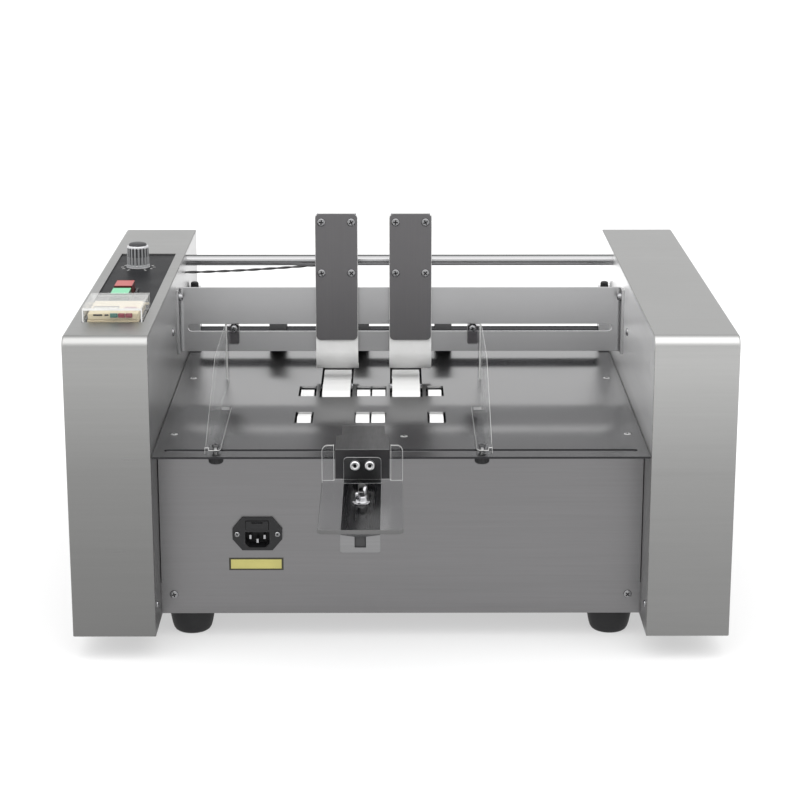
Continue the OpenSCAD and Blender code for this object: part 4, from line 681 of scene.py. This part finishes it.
def cover(name, side, mat):
    """A folded cover: big fold at the front top, ground corners, open below and towards the machine."""
    bm = bmesh.new()
    x_low, x_high = sorted((side * X_IN, side * X_OUT))
    block(bm, (x_low, 0, Z_LOW), (x_high, COVER_D, Z_TOP))
    lo, hi = at(x_low, 0, Z_LOW), at(x_high, COVER_D, Z_TOP)
    for y, r, seg in ((lo.y, FRONT_FOLD, 12), (hi.y, REAR_FOLD, 4)):
        fold = [e for e in bm.edges if all(near(v.co.y, y) and near(v.co.z, hi.z) for v in e.verts)]
        bevel(bm, fold, r, seg)
    inner = side * X_IN * MM
    for x, r in ((side * X_OUT * MM, OUTER_RIM), (inner, INNER_RIM)):
        rim = [e for e in bm.edges if all(near(v.co.x, x) for v in e.verts)
               and not all(near(v.co.z, lo.z) for v in e.verts)]
        bevel(bm, rim, r, 4)
    gone = [f for f in bm.faces if all(near(v.co.z, lo.z) for v in f.verts)
            or all(near(v.co.x, inner) for v in f.verts)]
    bmesh.ops.delete(bm, geom=gone, context="FACES")
    if side < 0:
        cut_window(bm)
    bmesh.ops.recalc_face_normals(bm, faces=bm.faces)
    if sum(f.normal.x * f.calc_area() for f in bm.faces) * side < 0:
        bmesh.ops.reverse_faces(bm, faces=bm.faces)
    bmesh.ops.solidify(bm, geom=list(bm.faces), thickness=COVER_SHEET * MM)
    piece(name + "_cover_shell", bm, [mat], "frame", (name + "_cover",), SOFT_FOLD)


cover("left", -1, "cover")
cover("right", 1, "cover_right_painted_light")

# ---------------------------------------------------------------- screws

TABLE_SCREWS = [(-224, 79.6, 0.2), (-224, 298.0, 0.9), (224, 79.6, 1.6), (224, 298.0, 2.3), (3, 72, 0.3)]
GATE_SCREWS = [(-15.8, 327.2), (15.8, 327.2), (-15.8, 382.0), (15.8, 382.0)]

bm = bmesh.new()
for x, d, turn in TABLE_SCREWS:
    pan_head(bm, at(x, d, 206.35), UP, 8.0, 1.35, 4.0, turn=turn)
# The table's screw domes get the light steel: painted highlight.
recolour(bm.faces, 0, 2)
for side in (-1, 1):
    inward = (-side, 0, 0)
    pan_head(bm, at(side * 226, 56, 48), FRONT, 8.4, 1.8, 8.0, turn=0.5 + side * 0.3)
    pan_head(bm, at(side * X_IN, 239, 272.5), inward, 8.4, 1.8, 5.0, turn=0.7)
    pan_head(bm, at(side * X_IN, 18, 52), inward, 7.0, 1.6, 4.0, turn=0.3)
    pan_head(bm, at(side * 236, 283.5, 300.5), inward, 8.4, 4.5, 6.0, turn=0.2)
    pan_head(bm, at(INLET_X + side * 20, 53.5, INLET_Z), FRONT, 5.6, 1.8, 6.0, 3.0, turn=0.8 + side * 0.4)
    socket_head(bm, at(STOP_X + side * 7, -4.3, 201), FRONT, 9.6, 5.0, 2)
for x in FOOT_X:
    for d in FOOT_D:
        pan_head(bm, at(x, d, 12), (0, 0, -1), 12.0, 5.0)
piece("frame_screw_heads", bm, ["chrome", "recess", "light_steel_and_painted_highlight"], "frame", ("frame_screws",))

for side, x in GATE_X.items():
    bm = bmesh.new()
    for i, (sx, z) in enumerate(GATE_SCREWS):
        pan_head(bm, at(x + sx, GATE_D, z), FRONT, 9.0, 1.9, 6.0, turn=0.25 + 0.6 * i)
    piece(side + "_gate_screw_heads", bm, ["chrome", "recess"], side + "_gate",
          (side + "_gate_screws",))

for side, x in GUIDE_X.items():
    bolt_x = x + GUIDE_INWARD[side] * GUIDE_BOLT
    bm = bmesh.new()
    pan_head(bm, at(bolt_x, 289.7, SLOT_Z), FRONT, 7.4, 2.2, 11.0, 5.0)
    nut = hex_shape(4.3)
    rings(bm, plain([(0, 0), (nut, 0), (nut, 4.0), (0, 4.0)]), facing(at(bolt_x, 297.3, SLOT_Z), REAR))
    bolt = set(bm.faces)
    pan_head(bm, at(x + GUIDE_INWARD[side] * GUIDE_CLAMP, GUIDE_CLAMP_D, 211.8), UP, 7.4, 1.8, 13.0, 5.0)
    recolour([f for f in bm.faces if f not in bolt], 0, 2)
    piece(side + "_guide_fastenings", bm, ["chrome", "recess", "dull_steel"], side + "_guide",
          (side + "_guide_bolt",))

# ---------------------------------------------------------------- gates

for side, x in GATE_X.items():
    bm = bmesh.new()
    outline = rounded_outline(x - 22, 254.2, x + 22, 390.9, 5.0)
    rims = prism(bm, [at(u, GATE_D, v) for u, v in outline], [at(u, GATE_D + 2, v) for u, v in outline])
    bevel(bm, rims, 0.35)
    piece(side + "_gate_plate_shape", bm, ["gate"], side + "_gate", (side + "_gate_plate",), SOFT_FOLD)
    refined(side + "_separator", ["white_rubber"], side + "_gate", 0.6)
    grip(side + "_gate_knob", at(x, 311.3, SLOT_Z), REAR, 20.0, 20.0)
for side, x in PRESSURE_KNOB_X.items():
    grip(side + "_pressure_knob", at(x, 440, 276.8), UP, 9.0, 7.0, 26.0, 6.0, 12)

# ---------------------------------------------------------------- sensor lead

LEAD_ROUTE = [(-252, 302.8), (-230, 302.9), (-212, 303.4), (-190, 304.3), (-165, 305.6), (-140, 307.2),
              (-120, 308.6), (-104, 309.9), (-86, 311)]
LEAD_D = 401.2
LEAD_STEPS = 249
LEAD_TWIST = 34.0
STRAND_R, STRAND_OFF = 0.88, 0.62

bm = bmesh.new()
lead_start = LEAD_ROUTE[0][0]
lead_span = LEAD_ROUTE[-1][0] - lead_start
for strand in (0, 1):
    pts = []
    for i in range(LEAD_STEPS + 1):
        x = lead_start + lead_span * i / LEAD_STEPS
        a, b = next((p, q) for p, q in zip(LEAD_ROUTE, LEAD_ROUTE[1:]) if p[0] <= x <= q[0])
        z = a[1] + (b[1] - a[1]) * (x - a[0]) / (b[0] - a[0])
        w = 2 * math.pi * x / LEAD_TWIST + math.pi * strand
        pts.append(at(x, LEAD_D + STRAND_OFF * math.cos(w), z + STRAND_OFF * math.sin(w)))
    tube(bm, pts, STRAND_R)
piece("sensor_lead_twist", bm, ["lead"], "frame", ("sensor_cable",), 60)

# ---------------------------------------------------------------- magazine

# Materials of a guide, by their index: the foot and the tab are darker tints of the clear sheet, which is painted
# shade, and the lines are frosted edges with painted highlight.
WALL, FOOT, LINE, TAB, FOOT_LINE = range(5)


def guide(side, x, inward):
    """A clear side guide: its foot, its tab and its cut edges show more than its wall, with painted shade on the foot
    and tab and painted highlight lines on chosen edges.
    """
    bm = solid_of(side + "_guide")
    cut(bm, bm.faces[:], at(x + inward * GUIDE_SHEET / 2, Y_MID, 0), (1, 0, 0))
    edges = folds(bm)
    edge_of = sawn(GUIDE_SHEET)
    for f in bm.faces:
        c = spot(f)
        low = c.z < 214
        in_wall = abs(c.x - x) < 2.1
        if f.normal.y > 0.9 and (low or in_wall):
            f.material_index = LINE
        elif abs(f.normal.y) > 0.9 and not low and not in_wall and not edge_of(f):
            f.material_index = TAB
        elif f.normal.z > 0.9 and low and not edge_of(f):
            f.material_index = FOOT
    bevel(bm, edges, 0.45, 1, FOOT_LINE)
    # Rims along the outer wall, the front and the foot get the highlight lines: painted highlight.
    for f in bm.faces:
        if f.material_index == FOOT_LINE:
            c = spot(f)
            along_wall = abs(c.x - x) < 2.4 and c.z > 210 and c.y > 14
            outer = inward * (c.x - x) < -1.0 or c.z > 240
            on_foot = abs(c.x - x) > 12.0 and c.z > 209
            at_front = c.y < 10 and c.z > 209
            if along_wall and outer or at_front:
                f.material_index = LINE
            elif not along_wall and not on_foot:
                f.material_index = WALL
    piece(side + "_guide_shape", bm, ["clear_guide", "clear_foot", "clear_line", "clear_tab", "foot_line"],
          side + "_guide", (side + "_guide",), SOFT_FOLD)
    grip(side + "_guide_knob", at(x + inward * GUIDE_CLAMP, GUIDE_CLAMP_D, 195.2), UP, 14.4, 10.0, bore=5.6)


for side, x in GUIDE_X.items():
    guide(side, x, GUIDE_INWARD[side])

# Back stop: its cut edges and front rims get a dark edge colour, which is painted shade. Its upper rims get lighter
# lines, which are painted highlight, brightest near the middle.
lined("back_stop", ["clear_stop", "acrylic_edge_shade", "clear_line", "lid_line"], "back_stop", 0.6,
      sawn(STOP_SHEET),
      lambda c: 1 if c.y <= -10 else 0 if c.z < 184 else 3 if abs(c.x - STOP_X) < 28 else 2)
# Stop ramp: its front rims get the light steel, which is painted highlight.
lined("stop_ramp", ["stop", "light_steel_and_painted_highlight"], "frame", 0.4, lambda f: 0, lambda c: 1 if c.y < 3 else 0)
# Stop bracket: its upper part and the lip's bottom rim are painted shade, and its other upper rims get painted
# highlight.
lined("stop_bracket", ["shelf", "light_steel_and_painted_highlight", "shelf_top", "stop"], "frame", 0.4,
      lambda f: 0 if spot(f).z < 180.4 else 2,
      lambda c: 3 if c.z < 166.5 else 0 if c.z < 180 or c.y < -150 else 1)

# A dark pad behind the lip's square hole: painted shade where the hole shows only shade.
bm = bmesh.new()
block(bm, (-43.6, -155.0, 168.9), (-30.4, -154.2, 180.3), 0.3)
block(bm, (-41.6, -155.6, 170.9), (-32.4, -154.8, 180.1), 0.2)
piece("lip_hole_painted_shade", bm, ["grey_rubber"], "frame")
refined("cross_beam", ["beam"], "frame", 0.35)

WING = [(3.4, 1.8), (5.0, 2.2), (7.4, 3.8), (10.0, 6.4), (11.6, 9.2), (11.9, 11.2), (11.2, 12.6), (9.6, 13.0),
        (7.8, 12.3), (6.3, 10.2), (5.2, 7.9), (4.2, 6.6), (3.5, 6.3)]
WING_HALF = 1.5

bm = bmesh.new()
hub = facing(at(STOP_X, -78, 187.1), UP) @ Matrix.Rotation(math.radians(68), 4, "Z")
rings(bm, plain([(3.3, 0), (8.3, 0), (8.5, 0.5), (8.3, 1.2), (7.2, 1.6), (6.4, 2.2), (5.7, 5.0), (5.3, 6.5),
                 (4.6, 7.0), (3.5, 7.0), (3.3, 6.6), (3.3, 0)]), hub)
for side in (-1, 1):
    faces = [[hub @ Vector((side * u * MM, y * MM, v * MM)) for u, v in WING] for y in (-WING_HALF, WING_HALF)]
    bevel(bm, prism(bm, *faces), 1.0, 3)
piece("wing_nut_shape", bm, ["bright"], "wing_nut", ("wing_nut",), SOFT_FOLD)

# ---------------------------------------------------------------- controls

KNOB_FLUTES = 18
KNOB_GROOVE_R = 11.28
TICKS = 11


def ribbed(r):
    return fluted(r, KNOB_FLUTES, 0.11)


bm = bmesh.new()
knob = facing(at(KNOB_X, KNOB_D, CONTROL_Z + 0.3), UP)
rings(bm, [(0, 0, 0), (12.7, 0, 0), (12.9, 0.5, 1), (12.8, 1.4, 1), (12.6, 2.4, 0), (12.2, 3.2, 0),
           (ribbed(12.1), 3.8, 0), (ribbed(11.9), 12, 0), (ribbed(11.6), 21.4, 0), (11.5, 22.2, 1), (11.2, 23.2, 1),
           (10.6, 23.8, 1), (9.9, 24.0, 1), (9.7, 23.8, 2), (9.5, 25.0, 2), (8.6, 26.1, 2), (5.6, 26.8, 2),
           (0, 27.0, 2)], knob, KNOB_FLUTES * 8)
# Faces deep in the flutes get a darker material: painted shade in the grooves.
for f in bm.faces:
    c = knob.inverted() @ f.calc_center_median()
    if 3.7 * MM < c.z < 21.3 * MM and c.xy.length < KNOB_GROOVE_R * MM:
        f.material_index = 4
block(bm, (KNOB_X - 0.4, 317.0, CONTROL_Z + 2.2), (KNOB_X + 0.4, 322.0, CONTROL_Z + 3.6), 0.15, 1, 3)
rings(bm, plain([(0, -18), (3, -18), (3, 0.2), (0, 0.2)]), knob, 24)
piece("speed_knob_shape", bm, ["knob", "knob_rim", "knob_cap", "control_ink", "knob_groove_painted_shade"], "speed_knob",
      ("speed_knob",), 40)

bm = bmesh.new()
for i in range(TICKS):
    place = Matrix.Translation(at(KNOB_X, KNOB_D, CONTROL_Z)) @ Matrix.Rotation(math.radians(150 - 30 * i), 4, "Z")
    far = 18.6 if i % 5 else 20.4
    tick = [(-0.5, 15.6), (0.5, 15.6), (0.5, far), (-0.5, far)]
    prism(bm, *([place @ Vector((u * MM, v * MM, z * MM)) for u, v in tick] for z in (0.12, 0.0)))
piece("speed_dial_ticks", bm, ["control_ink"], "frame")

for colour, d, top in (("green", 153.6, 333.5), ("red", 185.6, 334.5)):
    bm = bmesh.new()
    block(bm, (BUTTON_X - BUTTON_HALF_W, d, 317.8), (BUTTON_X + BUTTON_HALF_W, d + BUTTON_L, top), 1.2, 4)
    for v in bm.verts:
        if v.co.z > (top - 0.2) * MM:
            u = (v.co.x / MM - BUTTON_X) / BUTTON_HALF_W
            w = ((v.co.y / MM + Y_MID) - d - BUTTON_L / 2) / (BUTTON_L / 2)
            v.co.z -= 0.5 * MM * max(u * u, w * w)
    block(bm, (-295, d - 1, 318.4), (-272, d + BUTTON_L + 1, 319.9), 0.2, 1)
    # The caps' sides get the darker copy: painted shade.
    for f in bm.faces:
        f.material_index = 0 if f.normal.z > 0.6 and f.calc_center_median().z > (top - 1.2) * MM else 1
    piece(colour + "_button_cap", bm, [colour, colour + "_side"], colour + "_button",
          (colour + "_button",))

# Bars of the bezel: X from and to, D from and to.
BEZEL = [(-297, -294.4, 150.6, 215.6), (-272.6, -270, 150.6, 215.6), (-294.4, -272.6, 150.6, 153.2),
         (-294.4, -272.6, 181.0, 185.2), (-294.4, -272.6, 213.0, 215.6)]

bm = bmesh.new()
for x0, x1, d0, d1 in BEZEL:
    block(bm, (x0, d0, CONTROL_Z), (x1, d1, CONTROL_Z + 2.2), 0.5)
piece("button_bezel", bm, ["black_plastic"], "frame")

# Blocks of the counter: X, D and height over the control plate, from and to, then rounding, its steps, material.
CASE, BASE, BLACK, DRUM, TEAL, CRIMSON = range(6)
COUNTER_BLOCKS = [
    ((-304, 66.6, 0), (-254, 122.2, 2.2), 0.5, 2, BASE),
    ((-303.4, 67.2, 2.2), (-254.6, 121.6, 9.4), 1.4, 4, CASE),
    ((-300.5, 79, 9.0), (-275.5, 96, 9.9), 0.4, 2, BLACK),
    ((-281.5, 65.6, 5.0), (-274.2, 69.0, 9.2), 0.6, 3, TEAL),
    ((-273.6, 65.6, 5.0), (-267.2, 69.0, 9.2), 0.6, 3, CRIMSON),
    ((-266.6, 65.6, 5.0), (-260.0, 69.0, 9.2), 0.6, 3, CRIMSON),
    ((-298, 66.6, 6.6), (-289, 68.0, 8.2), 0.5, 2, BLACK),
    ((-287, 66.6, 6.6), (-283, 68.0, 8.2), 0.5, 2, BLACK),
    ((-270, 82, 9.2), (-258, 92, 10.2), 0.8, 3, CRIMSON),
    ((COUNTER_X - 25.2, 118, 0), (COUNTER_X - 21.2, 131.4, 6.0), 0.5, 2, CASE),
    ((COUNTER_X + 21.2, 118, 0), (COUNTER_X + 25.2, 131.4, 6.0), 0.5, 2, CASE),
    ((-301.8, 69.2, -31.9), (-256.2, 118.8, 0), 0.6, 2, BASE),
]
DRUM_LEVELS = [(0, 0), (4.1, 0), (4.3, 0.3), (4.3, 3.7), (4.1, 4.0), (0, 4.0)]

bm = bmesh.new()
for lo, hi, round_by, steps, mat in COUNTER_BLOCKS:
    block(bm, (lo[0], lo[1], CONTROL_Z + lo[2]), (hi[0], hi[1], CONTROL_Z + hi[2]), round_by, steps, mat)
for i in range(5):
    place = facing(at(-299.2 + i * 4.7, 87.5, CONTROL_Z + 6.2), (1, 0, 0))
    rings(bm, [(r, h, DRUM) for r, h in DRUM_LEVELS], place, 40)
for side in (-1, 1):
    pin = facing(at(COUNTER_X + side * 24.4, 130, CONTROL_Z + 4.5), (side, 0, 0))
    rings(bm, plain([(0, 0), (1.3, 0), (1.3, 4.0), (0, 4.0)]), pin, 24)
piece("counter_works", bm, ["beige", "beige_dark", "black_plastic", "drum", "teal", "crimson"], "frame",
      ("counter",), 40)

bm = solid_of("counter_cover")
edge_of = sawn(LID_SHEET)
lid_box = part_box("counter_cover")
front_y = lid_box[0].y
lid_x = [corner.x for corner in lid_box]


def at_lid_front(f):
    return f.normal.y < -0.9 and abs(f.calc_center_median().y - front_y) < 1e-5


# Strips along the lid's front top and sides, and all its rims, get the highlight line, which is painted highlight.
# Its top faces get haze and painted reflection.
cut(bm, [f for f in bm.faces if at_lid_front(f)], at(0, 0, LID_HIGHLIGHT_Z), (0, 0, 1))
for wall_x, inward in zip(lid_x, (LID_HIGHLIGHT_W, -LID_HIGHLIGHT_W)):
    cut(bm, [f for f in bm.faces if at_lid_front(f)], (wall_x + inward * MM, 0, 0), (1, 0, 0))
for f in bm.faces:
    c = f.calc_center_median()
    at_side = min(abs(c.x - wall_x) for wall_x in lid_x) < LID_HIGHLIGHT_W * MM
    high = c.z > LID_HIGHLIGHT_Z * MM
    if at_lid_front(f) and (high or at_side):
        f.material_index = 2
    else:
        f.material_index = 3 if f.normal.z > 0.9 and high else edge_of(f)
bevel(bm, folds(bm), 0.35, 2, 2)
piece("counter_cover_shape", bm, ["clear", "clear_edge", "lid_line", "lid_top"], "counter_cover",
      ("counter_cover",), SOFT_FOLD)

# ---------------------------------------------------------------- inlet, label and feet

LABEL_X, LABEL_Z = -143.6, 80.0
LABEL_HALF_W, LABEL_HALF_H = 27.0, 6.5
LABEL_FRAME_X, LABEL_FRAME_Z = 1.9, 1.7
FOOT_LEVELS = [(6.5, 12), (6.5, 0.4), (6.9, 0), (14.0, 0), (16.2, 0.5), (17.9, 1.8), (19.2, 4.0), (20.3, 7.6),
               (21.4, 13), (22.5, 19), (23.2, 25), (23.4, 28), (6.5, 28), (6.5, 12)]

refined("power_inlet", ["black_plastic"], "frame", 0.4)
refined("fuse_drawer", ["black_plastic"], "fuse_drawer", 0.15, 1)

bm = bmesh.new()
for w, h, d0, d1, rim, mat in ((LABEL_HALF_W, LABEL_HALF_H, 55.72, 56.0, 0.1, 1),
                               (LABEL_HALF_W - LABEL_FRAME_X, LABEL_HALF_H - LABEL_FRAME_Z, 55.62, 55.75, 0.05, 0)):
    block(bm, (LABEL_X - w, d0, LABEL_Z - h), (LABEL_X + w, d1, LABEL_Z + h), rim, 1, mat)
piece("inlet_label", bm, ["yellow", "label_frame"], "frame")

bm = bmesh.new()
for x in FOOT_X:
    for d in FOOT_D:
        rings(bm, plain(FOOT_LEVELS), facing(at(x, d, 0), UP), 64)
piece("moulded_feet", bm, ["black_rubber"], "frame", ("rubber_feet",), SOFT_FOLD)

# ---------------------------------------------------------------- floor, light and camera

FLOOR_HALF = 20.0
SKY_TOP = 3.0
SKY_SIDES = 1.5
# Share of the half turn from the front horizon over the top to the rear one, and the light there.
SKY = [(0.0, 1.0), (0.14, 1.4), (0.26, 2.9), (0.50, 2.9), (0.62, 1.4), (0.72, 0.85), (0.84, 1.0), (0.90, 1.14),
       (1.0, 1.2)]

floor_mesh = bpy.data.meshes.new("floor")
floor_mesh.from_pydata([(x * FLOOR_HALF, y * FLOOR_HALF, 0) for x, y in ((-1, -1), (1, -1), (1, 1), (-1, 1))], [],
                       [(0, 1, 2, 3)])
floor = bpy.data.objects.new("floor", floor_mesh)
scene.collection.objects.link(floor)
floor_mat, _, floor_bsdf = material("floor_paint")
floor_bsdf.inputs["Base Color"].default_value = (0.36, 0.36, 0.36, 1)
floor_bsdf.inputs["Emission Color"].default_value = (1, 1, 1, 1)
floor_bsdf.inputs["Emission Strength"].default_value = 0.52
floor_bsdf.inputs["Roughness"].default_value = 0.9
floor_bsdf.inputs["Specular IOR Level"].default_value = 0.1
floor.data.materials.append(floor_mat)

world = bpy.data.worlds.new("studio")
world.use_nodes = True
wt = world.node_tree
direction = split_xyz(wt, wt.nodes.new("ShaderNodeTexCoord").outputs["Generated"])
turn = calc(wt, "ARCTAN2", direction["Z"], calc(wt, "MULTIPLY", direction["Y"], -1.0))
ramp = wt.nodes.new("ShaderNodeValToRGB")
wt.links.new(calc(wt, "DIVIDE", turn, math.pi), ramp.inputs["Fac"])
ramp.color_ramp.interpolation = "EASE"
fill(ramp.color_ramp, [(place, light / SKY_TOP) for place, light in SKY])
aside = ranged(wt, calc(wt, "MULTIPLY", direction["X"], direction["X"]), 0.0, 1.0, 0.35, 0.95)
level = wt.nodes.new("ShaderNodeMix")
wt.links.new(aside, level.inputs["Factor"])
wt.links.new(calc(wt, "MULTIPLY", ramp.outputs["Color"], SKY_TOP), level.inputs[2])
level.inputs[3].default_value = SKY_SIDES
wt.links.new(level.outputs[0], wt.nodes["Background"].inputs["Strength"])
wt.nodes["Background"].inputs["Color"].default_value = (1, 1, 1, 1)
scene.world = world
scene.view_settings.view_transform = "Standard"

camera_data = bpy.data.cameras.new("camera")
camera_data.lens = 99.0
camera_data.sensor_width = 36.0
camera = bpy.data.objects.new("camera", camera_data)
camera.location = at(-8.5, -2010.0, 811.0)
camera.rotation_euler = (math.radians(90 - 15.23), 0, math.radians(-0.21))
scene.collection.objects.link(camera)
scene.camera = camera
